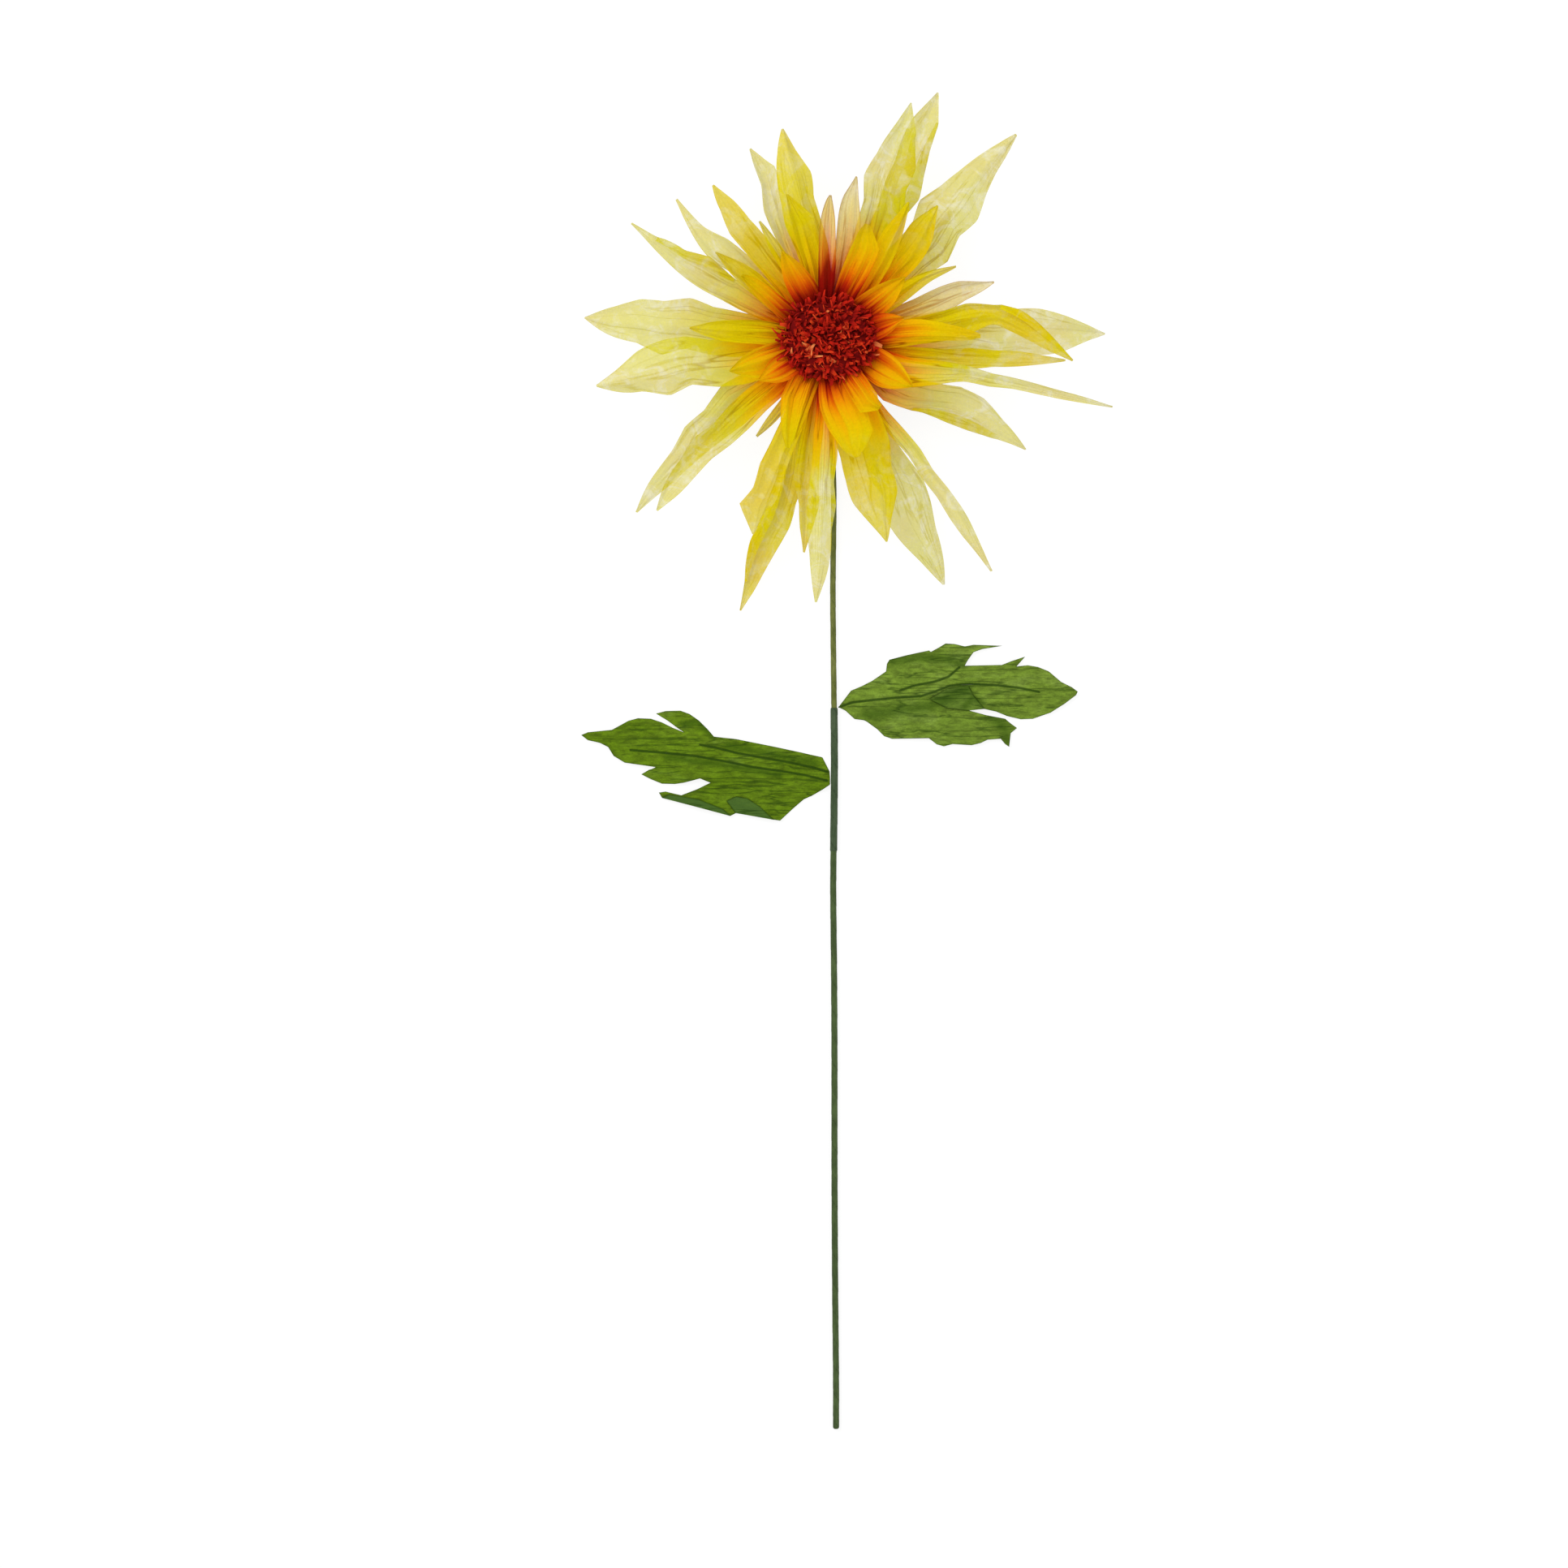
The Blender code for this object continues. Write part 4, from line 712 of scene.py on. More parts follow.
bpy.ops.object.select_all(action="DESELECT")
bpy.ops.mesh.primitive_circle_add(vertices=ROLL_SIDES, radius=ROLL_RADIUS, fill_type="NGON",
                                  location=(HEAD.x, HEAD.y, fringe_low[2]))
roll = bpy.context.active_object
roll.name = roll.data.name = "fringe_roll"
bpy.ops.object.transform_apply(location=True, rotation=True, scale=True)
edit(roll)
bpy.ops.mesh.select_mode(type="FACE")
bpy.ops.mesh.select_all(action="SELECT")
height, wide, deep = 0.0, ROLL_RADIUS, ROLL_RADIUS
for share, flare in ROLL_RINGS:
    next_wide = ROLL_RADIUS + flare * (RIM_WIDE - ROLL_RADIUS)
    next_deep = ROLL_RADIUS + flare * (RIM_DEEP - ROLL_RADIUS)
    rise = (share - height) * FRINGE_HEIGHT
    bpy.ops.mesh.extrude_region_move(TRANSFORM_OT_translate={"value": (0.0, 0.0, rise)})
    middle = (HEAD.x, HEAD.y, fringe_low[2] + share * FRINGE_HEIGHT)
    bpy.ops.transform.resize(value=(next_wide / wide, next_deep / deep, 1.0), center_override=middle)
    height, wide, deep = share, next_wide, next_deep
bpy.ops.mesh.poke()
bpy.ops.mesh.select_all(action="SELECT")
bpy.ops.mesh.normals_make_consistent(inside=False)
leave_edit()
# The roll takes the darker, painted-shade end of these colours
note(roll, "tone", np.full(len(roll.data.vertices), 0.15))
note(roll, "along", np.full(len(roll.data.vertices), 0.2))
shade(roll, 50)
stands_for(roll, "fringe_centre", red_paper)
print("roll", len(roll.data.polygons), "faces")

# %% A few curled strips
STRIP_SHEET = 0.13 * MM
STRIP_ROWS = 5
POINTS_IN_ROW = 3


def make_strip(name, wide, tall, bend, narrowing):
    """One cut strip: a narrow grid stood up, then rolled over and narrowed row by row."""
    bpy.ops.object.select_all(action="DESELECT")
    bpy.ops.mesh.primitive_grid_add(x_subdivisions=POINTS_IN_ROW - 1, y_subdivisions=STRIP_ROWS, size=1.0,
                                    location=(0, 0, 0.5), rotation=(math.pi / 2, 0, 0))
    strip = bpy.context.active_object
    strip.name = name
    bpy.ops.object.transform_apply(location=True, rotation=True, scale=True)
    rows = np.rint(positions(strip)[:, 2] * STRIP_ROWS).astype(int)
    edit(strip)
    bpy.ops.mesh.select_all(action="SELECT")
    bpy.ops.transform.resize(value=(wide * MM, 1.0, tall * MM), center_override=(0, 0, 0))
    for row in range(STRIP_ROWS):
        mesh = bmesh.from_edit_mesh(strip.data)
        hinge = Vector()
        for vert in mesh.verts:
            vert.select = bool(rows[vert.index] > row)
            if rows[vert.index] == row:
                hinge += vert.co / POINTS_IN_ROW
        bmesh.update_edit_mesh(strip.data)
        bpy.ops.transform.rotate(value=bend, orient_axis="X", center_override=hinge)
        bpy.ops.transform.resize(value=(narrowing, 1.0, 1.0), center_override=hinge)
    leave_edit()
    note(strip, "along", rows / STRIP_ROWS)
    apply_modifier(strip, "SOLIDIFY", thickness=STRIP_SHEET, offset=0.0)
    return strip


# Width and height in millimetres, the bend at each row in radians, and what each row keeps of the width
STRIP_KINDS = ((3.6, 7.8, 0.16, 0.86), (2.7, 9.0, 0.30, 0.76), (4.3, 7.4, 0.42, 0.82),
               (2.1, 9.4, -0.18, 0.78), (3.3, 8.4, 0.54, 0.80), (3.8, 7.2, -0.40, 0.74))
strips = [make_strip(f"strip_{number}", *sizes) for number, sizes in enumerate(STRIP_KINDS)]
print(len(strips), "strips of", len(strips[0].data.polygons), "faces")

# %% Placing one copy
STRIP_BASE = fringe_low[2] + 0.70 * FRINGE_HEIGHT
PALE_SPOT = Vector((-10.4 * MM, -6.5 * MM, 0.0))
PALE_REACH = 4.2 * MM
PALE_GAIN = 0.50
TONE_MIDDLE, TONE_SPREAD = 0.42, 0.22


def place_strip(spot, lean, spin, size):
    """A strip of its own mesh, turned about itself, leaned outwards from the axis and set down."""
    out = math.atan2(spot.y, spot.x) - math.pi / 2
    mesh = strips[draw.randrange(len(strips))].data.copy()
    copy = bpy.data.objects.new("strip", mesh)
    bpy.context.collection.objects.link(copy)
    turned = Matrix.Rotation(out, 4, "Z") @ Matrix.Rotation(-lean, 4, "X") @ Matrix.Rotation(spin, 4, "Z")
    mesh.transform(Matrix.Translation(HEAD + spot) @ turned @ Matrix.Scale(size, 4))
    near_pale = math.exp(-((spot.xy - PALE_SPOT.xy).length / PALE_REACH) ** 2)
    tone = min(max(draw.gauss(TONE_MIDDLE, TONE_SPREAD) + PALE_GAIN * near_pale, 0.0), 1.0)
    note(copy, "tone", np.full(len(mesh.vertices), tone))
    return copy


# %% Several hundred copies in a spiral, and some long ones that lie out over the petals on one side
STRIP_COUNT = 560
GOLDEN_ANGLE = math.pi * (3 - math.sqrt(5))
DOME = 2.2
OFF_SPIRAL = 0.9
copies = []
for number in range(STRIP_COUNT):
    share = math.sqrt((number + 0.5) / STRIP_COUNT)
    angle = number * GOLDEN_ANGLE
    spot = Vector((RIM_WIDE * share * math.cos(angle), RIM_DEEP * share * math.sin(angle), 0.0))
    spot += Vector((draw.uniform(-OFF_SPIRAL, OFF_SPIRAL), draw.uniform(-OFF_SPIRAL, OFF_SPIRAL), 0.0)) * MM
    spot.z = STRIP_BASE + (DOME * (1 - share ** 2) - DOME * share ** 4 + draw.uniform(-1.0, 1.0)) * MM
    lean = math.radians(6 + 50 * share ** 2.2 + draw.uniform(-24, 24))
    spin = draw.uniform(-math.pi, math.pi) * (0.95 if share < 0.8 else 0.4)
    copies.append(place_strip(spot, lean, spin, draw.uniform(0.68, 1.08)))

LONG_STRIPS = 16
LONG_SIZE = 1.35
LONG_FROM, LONG_TO = math.radians(-27), math.radians(14)
for number in range(LONG_STRIPS):
    angle = LONG_FROM + (LONG_TO - LONG_FROM) * number / (LONG_STRIPS - 1)
    reach = draw.uniform(20.0, 24.0) * MM
    level = STRIP_BASE - draw.uniform(0.5, 2.5) * MM
    spot = Vector((reach * math.cos(angle), reach * math.sin(angle), level))
    copies.append(place_strip(spot, math.radians(draw.uniform(68, 84)), draw.uniform(-0.5, 0.5), LONG_SIZE))

# %% Joining the fringe
for strip in strips:
    bpy.data.objects.remove(strip)
bpy.ops.object.select_all(action="DESELECT")
for copy in copies:
    copy.select_set(True)
bpy.context.view_layer.objects.active = copies[0]
bpy.ops.object.join()
fringe = bpy.context.active_object
fringe.name = fringe.data.name = "fringe_strips"
stands_for(fringe, "fringe_centre", red_paper)
print("fringe", len(fringe.data.polygons), "faces")


# %% [markdown]
# ## The stem: wire wound with paper tape
# The stem is a steel wire wound with crepe paper tape, which is stretched a little so that its wax makes it
# stick to itself. Each turn laps over the last, so a fine step winds along the stem. A cylinder with bump
# would lose that step in the mesh. So we do what the florist does: a flat grid is rolled round the stem's
# line, and its radius falls by the tape's thickness over each lap. The same roll makes the wrap under the
# head and the twisted thread.

# %% Rolling a flat grid round a line
def rolled(name, line, radius_at, sides):
    """A closed tube. radius_at gives its radius for a length along the line (metres) and a turn (0 to 1)."""
    bpy.ops.object.select_all(action="DESELECT")
    bpy.ops.mesh.primitive_grid_add(x_subdivisions=len(line) - 1, y_subdivisions=sides, size=2.0)
    tube = bpy.context.active_object
    tube.name = tube.data.name = name
    lengths = np.concatenate([[0.0], np.cumsum([(b - a).length for a, b in zip(line, line[1:])])])
    across = Vector((1.0, 0.0, 0.0))
    rings = []
    for index, point in enumerate(line):
        along = (line[min(index + 1, len(line) - 1)] - line[max(index - 1, 0)]).normalized()
        across = (across - along * across.dot(along)).normalized()
        rings.append((point, across.copy(), along.cross(across)))
    points = positions(tube)
    spots = np.rint((points[:, 0] + 1) / 2 * (len(line) - 1)).astype(int)
    turns = (points[:, 1] + 1) / 2
    for i, (spot, turn) in enumerate(zip(spots, turns)):
        centre, right, up = rings[spot]
        angle = 2 * math.pi * turn
        outwards = right * math.cos(angle) + up * math.sin(angle)
        points[i] = centre + outwards * float(radius_at(lengths[spot], turn))
    set_positions(tube, points)
    note(tube, "gone", lengths[spots])
    note(tube, "turn", turns)
    edit(tube)
    bpy.ops.mesh.select_all(action="SELECT")
    bpy.ops.mesh.remove_doubles(threshold=0.0005 * MM)
    bpy.ops.mesh.fill_holes(sides=0)
    bpy.ops.mesh.select_all(action="SELECT")
    bpy.ops.mesh.normals_make_consistent(inside=False)
    leave_edit()
    shade(tube, 50)
    return tube


def straight(start, end, step):
    count = max(2, round((end - start).length / step))
    return [start.lerp(end, i / count) for i in range(count + 1)]


# %% Florist's tape: waxed crepe paper with a soft sheen, fine ridges across it and a dark line at each lap
TAPE_CREPE = 0.9


def tape(name, body, shaded, pale):
    def patterns(tree):
        place = add(tree, "TexCoord", out="Object")
        lap = add(tree, "Attribute", attribute_name="lap", out="Fac")
        blotch = add(tree, "TexNoise", {"Vector": place, "Scale": per_metre(9.0), "Detail": 3.0})
        blotch = add(tree, "MapRange", {0: blotch, 1: 0.35, 2: 0.7})
        colour = add(tree, "Mix", {0: blotch, 6: linear(body), 7: linear(pale)}, out=2, data_type="RGBA")
        squash = add(tree, "Mapping", {"Vector": place, "Scale": (1.0, 0.16, 1.0)})
        crepe = add(tree, "TexNoise", {"Vector": squash, "Scale": per_metre(TAPE_CREPE), "Detail": 3.0})
        ridge = add(tree, "MapRange", {0: crepe, 1: 0.42, 2: 0.62})
        seam = add(tree, "MapRange", {0: lap, 1: 0.90, 2: 0.995}, interpolation_type="SMOOTHSTEP")
        dark = add(tree, "Math", {0: ridge, 1: 0.35, 2: seam}, operation="MULTIPLY_ADD")
        colour = add(tree, "Mix", {0: dark, 6: colour, 7: linear(shaded)}, out=2, data_type="RGBA")
        bump = add(tree, "Bump", {"Height": crepe, "Strength": 0.5, "Distance": 0.0003})
        return {"Base Color": colour, "Normal": bump}

    return new_material(name, patterns, {"Roughness": 0.65, "Specular IOR Level": 0.2})


green_tape = tape("green florist's tape, wound", "#3E5028", "#223014", "#4C6034")
joint_tape = tape("blue-green florist's tape, wound", "#394C30", "#20301A", "#47583C")
olive_tape = tape("olive florist's tape, wound", "#5E6628", "#3A4018", "#747A3C")


# %% The stem's line, read from the solids' own rings
RING_GAP = 1.5 * MM
TUBE_STEP = 0.9 * MM


def ring_centres(node_name):
    """The middle of each ring of a wrap's solid, in order along the stem."""
    points = np.array([v.co[:] for v in frame["nodes"][node_name].data.vertices])
    points = points[np.argsort(points[:, 1])]
    breaks = np.where(np.diff(points[:, 1]) > RING_GAP)[0] + 1
    return [Vector(0.5 * (ring.min(axis=0) + ring.max(axis=0))) for ring in np.split(points, breaks)]


def smooth_line(points):
    """A smooth curve through points, read at even steps."""
    made = []
    for i in range(len(points) - 1):
        p0, p1, p2, p3 = points[max(i - 1, 0)], points[i], points[i + 1], points[min(i + 2, len(points) - 1)]
        count = max(1, round((p2 - p1).length / TUBE_STEP))
        for k in range(count):
            t = k / count
            made.append(0.5 * (2 * p1 + (p2 - p0) * t + (2 * p0 - 5 * p1 + 4 * p2 - p3) * t ** 2
                               + (3 * p1 - p0 - 3 * p2 + p3) * t ** 3))
    return made + [points[-1]]


# %% One wrap, with the step at each lap, wrinkles from the winding, and rounded ends
TAPE_STEP = 0.11 * MM
LAP_PITCH = 17.0 * MM
TUBE_SIDES = 28


def lap_at(gone, turn, seed):
    """How far round its lap the tape is, from 0 to 1. The pitch wavers, as by hand."""
    waver = 0.16 * noise.noise(Vector((gone / 0.03, seed, 0.0)))
    return (gone / LAP_PITCH + waver + turn) % 1.0


def wound(name, line, radius, round_start=0.0, round_end=0.0):
    length = sum((b - a).length for a, b in zip(line, line[1:]))
    seed = len(name)

    def size(gone, turn):
        wrinkle = noise.noise(Vector((gone / (2.5 * MM), 3 * math.sin(2 * math.pi * turn), seed)))
        ends = [1.0]
        for rounding, left in ((round_start, gone), (round_end, length - gone)):
            if left < rounding:
                ends.append(0.5 + 0.5 * math.sqrt(1 - (1 - max(left, 0.0) / rounding) ** 2))
        return (radius - TAPE_STEP * lap_at(gone, turn, seed) + 0.05 * MM * wrinkle) * min(ends)

    tube = rolled(name, line, size, TUBE_SIDES)
    note(tube, "lap", [lap_at(g, t, seed) for g, t in zip(read_note(tube, "gone"), read_note(tube, "turn"))])
    return tube


# %% The three wraps. The lower and the upper tape run on under the joint's, which was wound last
UPPER_RADIUS = 1.8 * MM
BEND = 14.0 * MM
BEND_STEPS = 8
TUCKED_UNDER = Vector((0.0, 5.0 * MM, 0.0))
lower_line = ring_centres("lower_stem_wrap")
joint_line = ring_centres("joint_wrap")
LOWER_RADIUS = lower_line[2].z
lower_line.append(lower_line[-1] + TUCKED_UNDER)
JOINT_RADIUS = joint_line[1].z
upper_rings = [p for p in ring_centres("upper_stem_wrap") if p.y < HEAD.y - 1.5 * BEND]
quarter = [math.pi / 2 * k / BEND_STEPS for k in range(BEND_STEPS + 1)]
bend = [HEAD + Vector((0.0, BEND * (math.sin(a) - 1), JOINT_RADIUS + BEND * (1 - math.cos(a))))
        for a in quarter]
top = Vector((HEAD.x, HEAD.y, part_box("upper_stem_wrap")[1][2]))
upper_line = [joint_line[-1] - TUCKED_UNDER, joint_line[-1]] + upper_rings[1:] + bend + [top]

lower = wound("lower_stem_tape", smooth_line(lower_line), LOWER_RADIUS, round_start=1.6 * MM)
joint = wound("joint_tape", smooth_line(joint_line), JOINT_RADIUS, round_start=1.2 * MM, round_end=1.2 * MM)
upper = wound("upper_stem_tape", smooth_line(upper_line), UPPER_RADIUS)
stands_for(lower, "lower_stem_wrap", green_tape)
stands_for(joint, "joint_wrap", joint_tape)
stands_for(upper, "upper_stem_wrap", olive_tape)
print("stem", sum(len(p.data.polygons) for p in (lower, joint, upper)), "faces")

# %% The wrap under the head: four laps up a cup that opens from the neck
HEAD_LAPS = 4
NECK_SHARE = 0.24
CUP_END = 0.86
head_height = roll_high[2] - roll_low[2]


def head_size(gone, turn):
    share = gone / head_height
    opening = NECK_SHARE + (1 - NECK_SHARE) * min(share / CUP_END, 1.0) ** 0.8
    return opening * ROLL_RADIUS - TAPE_STEP * ((HEAD_LAPS * share + turn) % 1.0)


neck = Vector((HEAD.x, HEAD.y, roll_low[2]))
head_tape = rolled("head_tape", straight(neck, neck + Vector((0, 0, head_height)), 0.3 * MM), head_size, 48)
head_share = read_note(head_tape, "gone") / head_height
note(head_tape, "lap", (HEAD_LAPS * head_share + read_note(head_tape, "turn")) % 1.0)
stands_for(head_tape, "head_wrap", green_tape)

# %% Cotton thread, twisted from two plies, round the petals' roots: matt and slightly fuzzy
THREAD_TURNS = 4
THREAD_STEPS = 48
THREAD_RADIUS = 0.18 * MM
PLY_TWIST = 1.1 * MM
thread_low, thread_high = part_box("binding_thread")
reach = 0.5 * (thread_high[0] - thread_low[0]) - 1.6 * THREAD_RADIUS
climb = thread_high[2] - thread_low[2] - 2 * THREAD_RADIUS
thread_line = []
for step in range(THREAD_TURNS * THREAD_STEPS + 1):
    angle = 2 * math.pi * step / THREAD_STEPS
    height = thread_low[2] + THREAD_RADIUS + climb * step / (THREAD_TURNS * THREAD_STEPS)
    thread_line.append(HEAD + Vector((reach * math.cos(angle), reach * math.sin(angle), height)))


def ply_size(gone, turn):
    return THREAD_RADIUS * (1 + 0.12 * math.sin(2 * math.pi * (2 * turn + gone / PLY_TWIST)))


def cotton(tree):
    place = add(tree, "TexCoord", out="Object")
    fuzz = add(tree, "TexNoise", {"Vector": place, "Scale": per_metre(0.8), "Detail": 3.0})
    colour = add(tree, "Mix", {0: fuzz, 6: linear("#3E4A24"), 7: linear("#6A7646")}, out=2, data_type="RGBA")
    return {"Base Color": colour}


thread = rolled("binding_turns", thread_line, ply_size, 8)
olive_cotton = new_material("olive cotton thread, twisted", cotton, {"Roughness": 0.85})
stands_for(thread, "binding_thread", olive_cotton)
print("thread", len(thread.data.polygons), "faces")

# %% [markdown]
# ## Leaves
# The leaves are cut from green crepe paper, whose fine ridges run the length of the leaf. A wire is glued under
# the midrib. The midrib and the other sharp creases are painted as dark lines of shade, and where some edges
# are folded back, the doubled paper is painted darker as shade, because two layers let less light through. We
# copy each leaf's solid as we did the petals', but subdivide it without rounding, since a leaf's notches are
# cut sharp. For every point we note how far it is from the creases and from the cut edge, how much it lies in a
# soft fold, and whether the paper is doubled there. One more number says that the right leaf's paper is the
# lighter of the two.

# %% The creases of each leaf, in millimetres from the head's axis
SHARP_CREASES = {
    "left": (
        ((-0.3, -272), (-14, -268.5), (-29, -266), (-46, -263.6), (-63.5, -260), (-81, -256.8),
         (-101, -254.7), (-122, -253)),
        ((0, -266.5), (-10, -263.6), (-24, -260.6), (-41, -257.6), (-55.6, -255), (-67.5, -252),
         (-79, -249.7)),
    ),
    "right": (
        ((7, -226.5), (15.4, -223.5), (28, -222), (42, -220.6), (58, -219.6), (66, -217), (75.7, -213.2),
         (86.5, -212), (106, -213), (119, -214.6), (131, -217)),
        ((45, -216), (54, -213), (66, -210.7), (74.7, -207.7), (81.6, -201.8)),
    ),
}

# Soft folds, pressed in a little and painted as bands of shade, each with its half width in millimetres
SOFT_FOLDS = {
    "left": (
        (2.6, ((-8, -261), (-35, -255.5), (-62, -250))),
        (2.2, ((-30, -268.5), (-62, -262.5), (-100, -257.5))),
        (2.4, ((-90, -237), (-80, -236), (-72, -243))),
    ),
    "right": (
        (4.6, ((24, -231), (45, -228.5), (62, -226), (76, -220), (86, -215))),
        (3.4, ((36, -198), (52, -196), (70, -196), (84, -200))),
        (4.5, ((102, -232), (109, -239), (112, -247))),
        (2.4, ((85, -226), (90, -220), (96, -224))),
    ),
}


# %% Crepe paper for the leaves: matt green with dark fibres along it, and painted shade along its creases, in its soft folds and, bluish, where it is doubled
CREPE_RIDGE = 2.4
FIBRE_LENGTH_SHARE = 0.33
LEAF_BLOTCH = 9.0
LEAF_NOTES = ("to_crease", "to_edge", "soft_fold", "doubled", "light")


def leaf_crepe(tree):
    place = add(tree, "TexCoord", out="Object")
    crease, edge, soft, doubled, light = (add(tree, "Attribute", attribute_name=name, out="Fac")
                                          for name in LEAF_NOTES)
    ridges = add(tree, "Mapping", {"Vector": place, "Scale": (FIBRE_LENGTH_SHARE, 1.0, 1.0)})
    ridge = add(tree, "TexNoise", {"Vector": ridges, "Scale": per_metre(CREPE_RIDGE), "Detail": 4.0,
                                   "Roughness": 0.7, "Distortion": 0.3})
    strands = add(tree, "Mapping", {"Vector": place, "Scale": (0.06, 1.0, 1.0), "Location": (0.3, 0.1, 0.0)})
    strand = add(tree, "TexNoise", {"Vector": strands, "Scale": per_metre(6.0), "Detail": 3.0})
    fibre = thin_lines(tree, strand, 0.03)
    drawn_out = add(tree, "Mapping", {"Vector": place, "Scale": (0.35, 1.0, 1.0)})
    blotch = add(tree, "TexNoise", {"Vector": drawn_out, "Scale": per_metre(LEAF_BLOTCH), "Detail": 4.0,
                                    "Roughness": 0.6})
    speck = add(tree, "TexNoise", {"Vector": place, "Scale": per_metre(0.9), "Detail": 2.0})

    deep = add(tree, "MapRange", {0: blotch, 1: 0.58, 2: 0.38}, interpolation_type="SMOOTHSTEP")
    pale = add(tree, "Math", {0: light, 1: 0.10, 2: blotch}, operation="MULTIPLY_ADD")
    pale = add(tree, "MapRange", {0: pale, 1: 0.56, 2: 0.92}, interpolation_type="SMOOTHSTEP")
    washed = add(tree, "Math", {0: light, 1: 0.22}, operation="MULTIPLY")
    colour = linear("#5E7A10")
    for amount, code in ((deep, "#567208"), (pale, "#748E38"), (washed, "#8EA450")):
        colour = add(tree, "Mix", {0: amount, 6: colour, 7: linear(code)}, out=2, data_type="RGBA")
    grain = add(tree, "MapRange", {0: ridge, 1: 0.36, 2: 0.64, 3: 0.64, 4: 1.26})
    grey = add(tree, "MapRange", {0: speck, 1: 0.3, 2: 0.7, 3: 0.90, 4: 1.10})
    grain = add(tree, "Math", {0: grain, 1: grey}, operation="MULTIPLY")
    colour = add(tree, "VectorMath", {0: colour, 1: grain}, operation="MULTIPLY")
    # Painted shade where the paper lies doubled, fainter on the lighter right leaf
    folded = add(tree, "Math", {0: light, 1: -0.50, 2: 0.80}, operation="MULTIPLY_ADD")
    folded = add(tree, "Math", {0: doubled, 1: folded}, operation="MULTIPLY")
    shaded = add(tree, "Math", {0: soft, 1: 0.66}, operation="MULTIPLY")

    # Painted shade along the sharp creases, with a darker cut edge and dark fibres in the paper
    line = add(tree, "MapRange", {0: crease, 1: 0.4, 2: 1.1, 3: 1.0, 4: 0.0}, interpolation_type="SMOOTHSTEP")
    rim = add(tree, "MapRange", {0: edge, 1: 0.15, 2: 0.6, 3: 0.6, 4: 0.0}, interpolation_type="SMOOTHSTEP")
    small = add(tree, "Math", {0: fibre, 1: 0.72}, operation="MULTIPLY")
    line = add(tree, "Math", {0: line, 1: rim}, operation="MAXIMUM")
    line = add(tree, "Math", {0: line, 1: small}, operation="MAXIMUM")
    line = add(tree, "Math", {0: line, 1: 0.85}, operation="MULTIPLY")
    for amount, code in ((folded, "#3C5A26"), (shaded, "#304E02"), (line, "#1E3A02")):
        colour = add(tree, "Mix", {0: amount, 6: colour, 7: linear(code)}, out=2, data_type="RGBA")
    relief = add(tree, "Math", {0: line, 1: -0.8, 2: ridge}, operation="MULTIPLY_ADD")
    bump = add(tree, "Bump", {"Height": relief, "Strength": 0.55, "Distance": 0.0005})
    return {"Base Color": colour, "Normal": bump}


leaf_paper = new_material("green crepe paper, cut and folded", leaf_crepe,
                          {"Roughness": 0.8, "Specular IOR Level": 0.1})


# %% Where the paper is doubled, and where its creases run
LEAF_TISSUE = 0.16 * MM
FLAP_CLEARANCE = 0.5 * MM
LEAF_SUBDIVISIONS = 4


def doubled_at(leaf, points):
    """1 where a ray down from just under the paper meets more paper."""
    tree = BVHTree.FromPolygons([p[:] for p in points], [p.vertices[:] for p in leaf.data.polygons])
    down = Vector((0, 0, -1))
    starts = [Vector(point) + FLAP_CLEARANCE * down for point in points]
    return np.array([0.0 if tree.ray_cast(start, down)[0] is None else 1.0 for start in starts])


def from_head(points_mm):
    return np.array([(HEAD.x + x * MM, HEAD.y + y * MM) for x, y in points_mm])


# %% One leaf
def make_leaf(side, seed):
    leaf = upper_skin(side + "_leaf", side + "_leaf_paper", SOLID_SHEET["leaf"])
    apply_modifier(leaf, "SUBSURF", levels=LEAF_SUBDIVISIONS, render_levels=LEAF_SUBDIVISIONS,
                   subdivision_type="SIMPLE")
    points = positions(leaf)
    loop = outline_loop(leaf)
    edge = distances(points, np.vstack([loop, loop[:1]]))
    doubled = doubled_at(leaf, points)
    crease = np.min([distances(points, from_head(line)) for line in SHARP_CREASES[side]], axis=0)
    soft = np.zeros(len(points))
    for half_width, line in SOFT_FOLDS[side]:
        soft = np.maximum(soft, np.exp(-(distances(points, from_head(line)) / (half_width * MM)) ** 2))
    for i, point in enumerate(points):
        wide = noise.noise(Vector(point) / (15 * MM) + Vector((seed, 0, 0)))
        long = noise.noise(Vector((point[0] / (40 * MM), point[1] / (4 * MM), seed)))
        rise = 0.55 * wide + 0.35 * long - 0.5 * math.exp(-(crease[i] / (0.9 * MM)) ** 2) - 0.4 * soft[i]
        points[i, 2] = max(point[2] + rise * MM, 0.25 * MM)
    set_positions(leaf, points)
    light = np.full(len(points), float(side == "right"))
    for name, values in zip(LEAF_NOTES, (crease / MM, edge / MM, soft, doubled, light)):
        note(leaf, name, values)
    apply_modifier(leaf, "SOLIDIFY", thickness=LEAF_TISSUE, offset=0.0, use_rim=True)
    shade(leaf, 40)
    return leaf


for seed, side in enumerate(("left", "right")):
    leaf = make_leaf(side, 3.0 + seed)
    stands_for(leaf, side + "_leaf", leaf_paper)
    print(side, "leaf", len(leaf.data.polygons), "faces")

# %% [markdown]
# ## Wires that stay as they are
# The leaves' wires and the stem's steel core already have the right shape as solids, so they keep it and
# only get a finish. The leaf wires are covered in thin green paper, and the core is drawn steel, hidden in
# the tape.

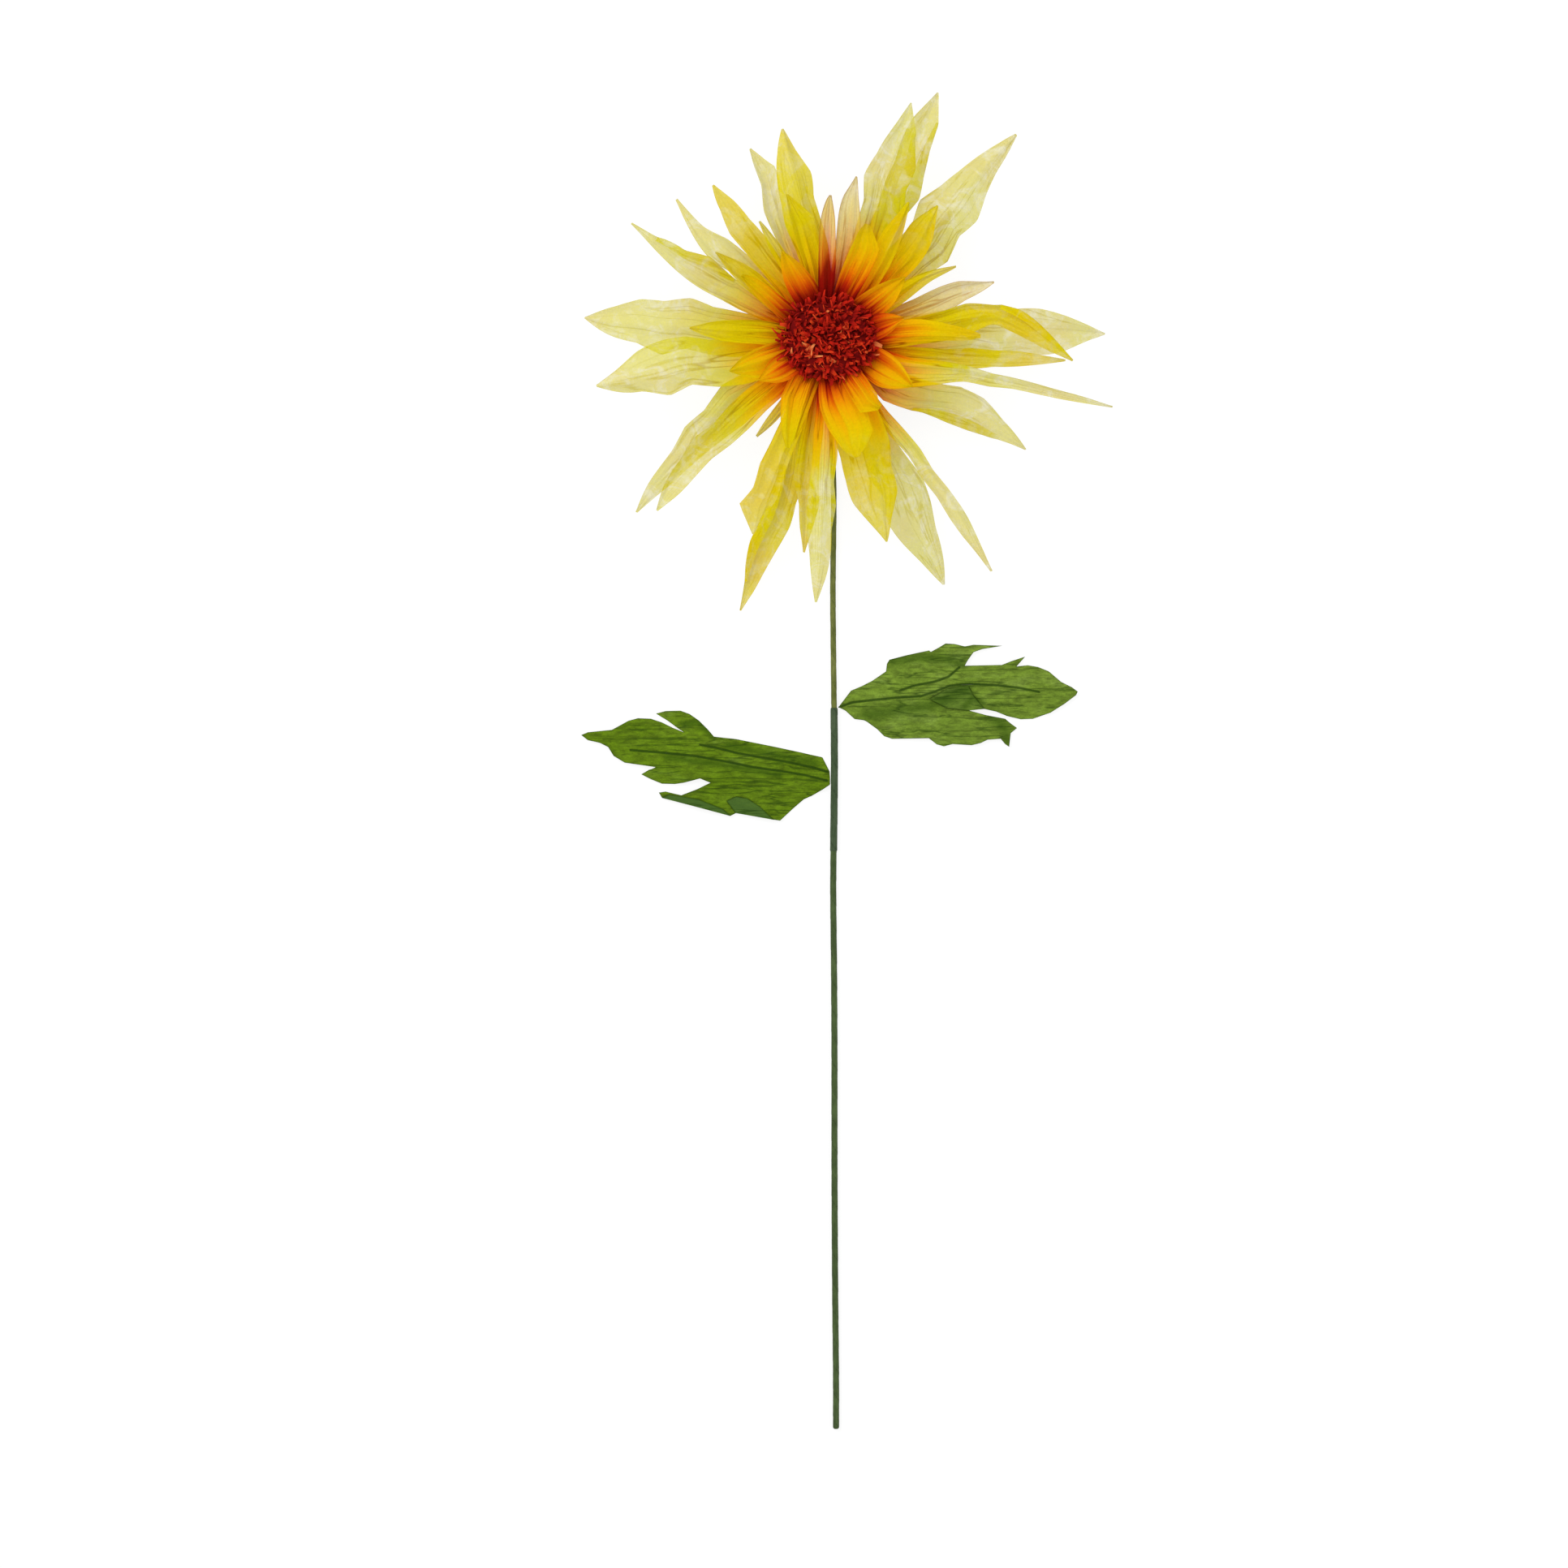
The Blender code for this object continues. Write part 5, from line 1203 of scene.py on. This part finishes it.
# %% Paper-covered wire is dull and mottled; drawn steel shines in fine lines along its length
def covered(tree):
    place = add(tree, "TexCoord", out="Object")
    mark = add(tree, "TexNoise", {"Vector": place, "Scale": per_metre(2.0), "Detail": 3.0})
    colour = add(tree, "Mix", {0: mark, 6: linear("#24330C"), 7: linear("#43561F")}, out=2, data_type="RGBA")
    return {"Base Color": colour}


def drawn(tree):
    place = add(tree, "TexCoord", out="Object")
    lines = add(tree, "Mapping", {"Vector": place, "Scale": (1.0, 0.03, 1.0)})
    mark = add(tree, "TexNoise", {"Vector": lines, "Scale": per_metre(0.3), "Detail": 3.0})
    rough = add(tree, "MapRange", {0: mark, 3: 0.28, 4: 0.46})
    colour = add(tree, "Mix", {0: mark, 6: linear("#8E8C88"), 7: linear("#A6A4A0")}, out=2, data_type="RGBA")
    return {"Base Color": colour, "Roughness": rough}


covered_wire = new_material("green paper-covered wire", covered, {"Roughness": 0.6})
steel = new_material("drawn steel wire", drawn, {"Metallic": 1.0})
for node_name, material in (("left_leaf_wire", covered_wire), ("right_leaf_wire", covered_wire),
                            ("stem_wire", steel)):
    frame["nodes"][node_name].material_slots[0].material = material

# %% [markdown]
# ## Floor, light and camera
# The photo was taken on white, straight from above, with soft light from all round. A lens of 200 mm far
# away keeps the flower free of perspective. The floor is white to the camera, but part of that white is
# real paper-white that takes the flower's soft shadow.

# %% The floor
FLOOR_SIZE = 8.0
FLOOR_GLOW_SHARE = 0.80
FLOOR_GLOW = 1.06
FLOOR_WHITE = 0.86
bpy.ops.object.select_all(action="DESELECT")
bpy.ops.mesh.primitive_plane_add(size=FLOOR_SIZE, location=(0, 0, 0))
floor = bpy.context.active_object
floor.name = "studio_floor"
floor_material = bpy.data.materials.new("white studio paper")
floor_material.use_nodes = True
floor_tree = floor_material.node_tree
floor_tree.nodes.clear()
camera_ray = add(floor_tree, "LightPath", out="Is Camera Ray")
glossy_ray = add(floor_tree, "LightPath", out="Is Glossy Ray")
glass_ray = add(floor_tree, "LightPath", out="Is Transmission Ray")
seen = add(floor_tree, "Math", {0: glossy_ray, 1: glass_ray}, operation="MAXIMUM")
seen = add(floor_tree, "Math", {0: camera_ray, 1: seen}, operation="MAXIMUM")
seen = add(floor_tree, "Math", {0: seen, 1: FLOOR_GLOW_SHARE}, operation="MULTIPLY")
lit = add(floor_tree, "BsdfDiffuse", {"Color": (FLOOR_WHITE, FLOOR_WHITE, FLOOR_WHITE, 1)})
glow = add(floor_tree, "Emission", {"Color": (1, 1, 1, 1), "Strength": FLOOR_GLOW})
add(floor_tree, "OutputMaterial", {"Surface": add(floor_tree, "MixShader", {0: seen, 1: lit, 2: glow})})
floor.data.materials.append(floor_material)

# %% Light from the world and two large lamps
SKY_LIGHT = 0.70
world = bpy.data.worlds.new("studio")
bpy.context.scene.world = world
world.use_nodes = True
world.node_tree.nodes.clear()
sky = add(world.node_tree, "Background", {"Color": (1, 1, 1, 1), "Strength": SKY_LIGHT})
add(world.node_tree, "OutputWorld", {"Surface": sky})


def soft_lamp(name, place, side, watts):
    """A square lamp that looks at the flower's head."""
    lamp = bpy.data.lights.new(name, "AREA")
    lamp.size = side
    lamp.energy = watts
    holder = bpy.data.objects.new(name, lamp)
    holder.location = place
    holder.rotation_mode = "QUATERNION"
    holder.rotation_quaternion = (HEAD - Vector(place)).to_track_quat("-Z", "Y")
    bpy.context.collection.objects.link(holder)


soft_lamp("key", (-1.3, 1.2, 1.9), 1.1, 30.0)
soft_lamp("fill", (1.8, -0.6, 1.6), 1.6, 12.0)

# %% The camera, straight above
VIEW_WIDTH = 0.966
LENS = 200.0
SENSOR = 36.0
PETAL_LEVEL = 0.03

# From the head's axis to the middle of the photo
TO_MIDDLE = Vector((-0.027, -0.274, 0.0))
camera = bpy.data.cameras.new("camera")
camera.lens = LENS
camera.sensor_width = SENSOR
camera.clip_end = 20.0
holder = bpy.data.objects.new("camera", camera)
holder.location = HEAD + TO_MIDDLE + Vector((0.0, 0.0, VIEW_WIDTH * LENS / SENSOR + PETAL_LEVEL))
bpy.context.collection.objects.link(holder)
bpy.context.scene.camera = holder
bpy.context.scene.view_settings.view_transform = "Standard"

# A ray passes two faces for each petal on its way to the floor, and near the heart many petals overlap
bpy.context.scene.cycles.transparent_max_bounces = 64

# %% [markdown]
# ## Counting the triangles
# We count the new pieces' triangles, and name the piece that has the most. A flower of six hundred
# thousand triangles is plenty, so we count those too.

# %% Count the triangles
new_pieces = [o for o in bpy.data.objects
              if o.type == "MESH" and o.name not in frame["nodes"] and o is not floor]
triangles = {o.name: sum(len(p.vertices) - 2 for p in o.data.polygons) for o in new_pieces}
largest = max(triangles, key=triangles.get)
print(sum(triangles.values()), "triangles, most in", largest, triangles[largest])
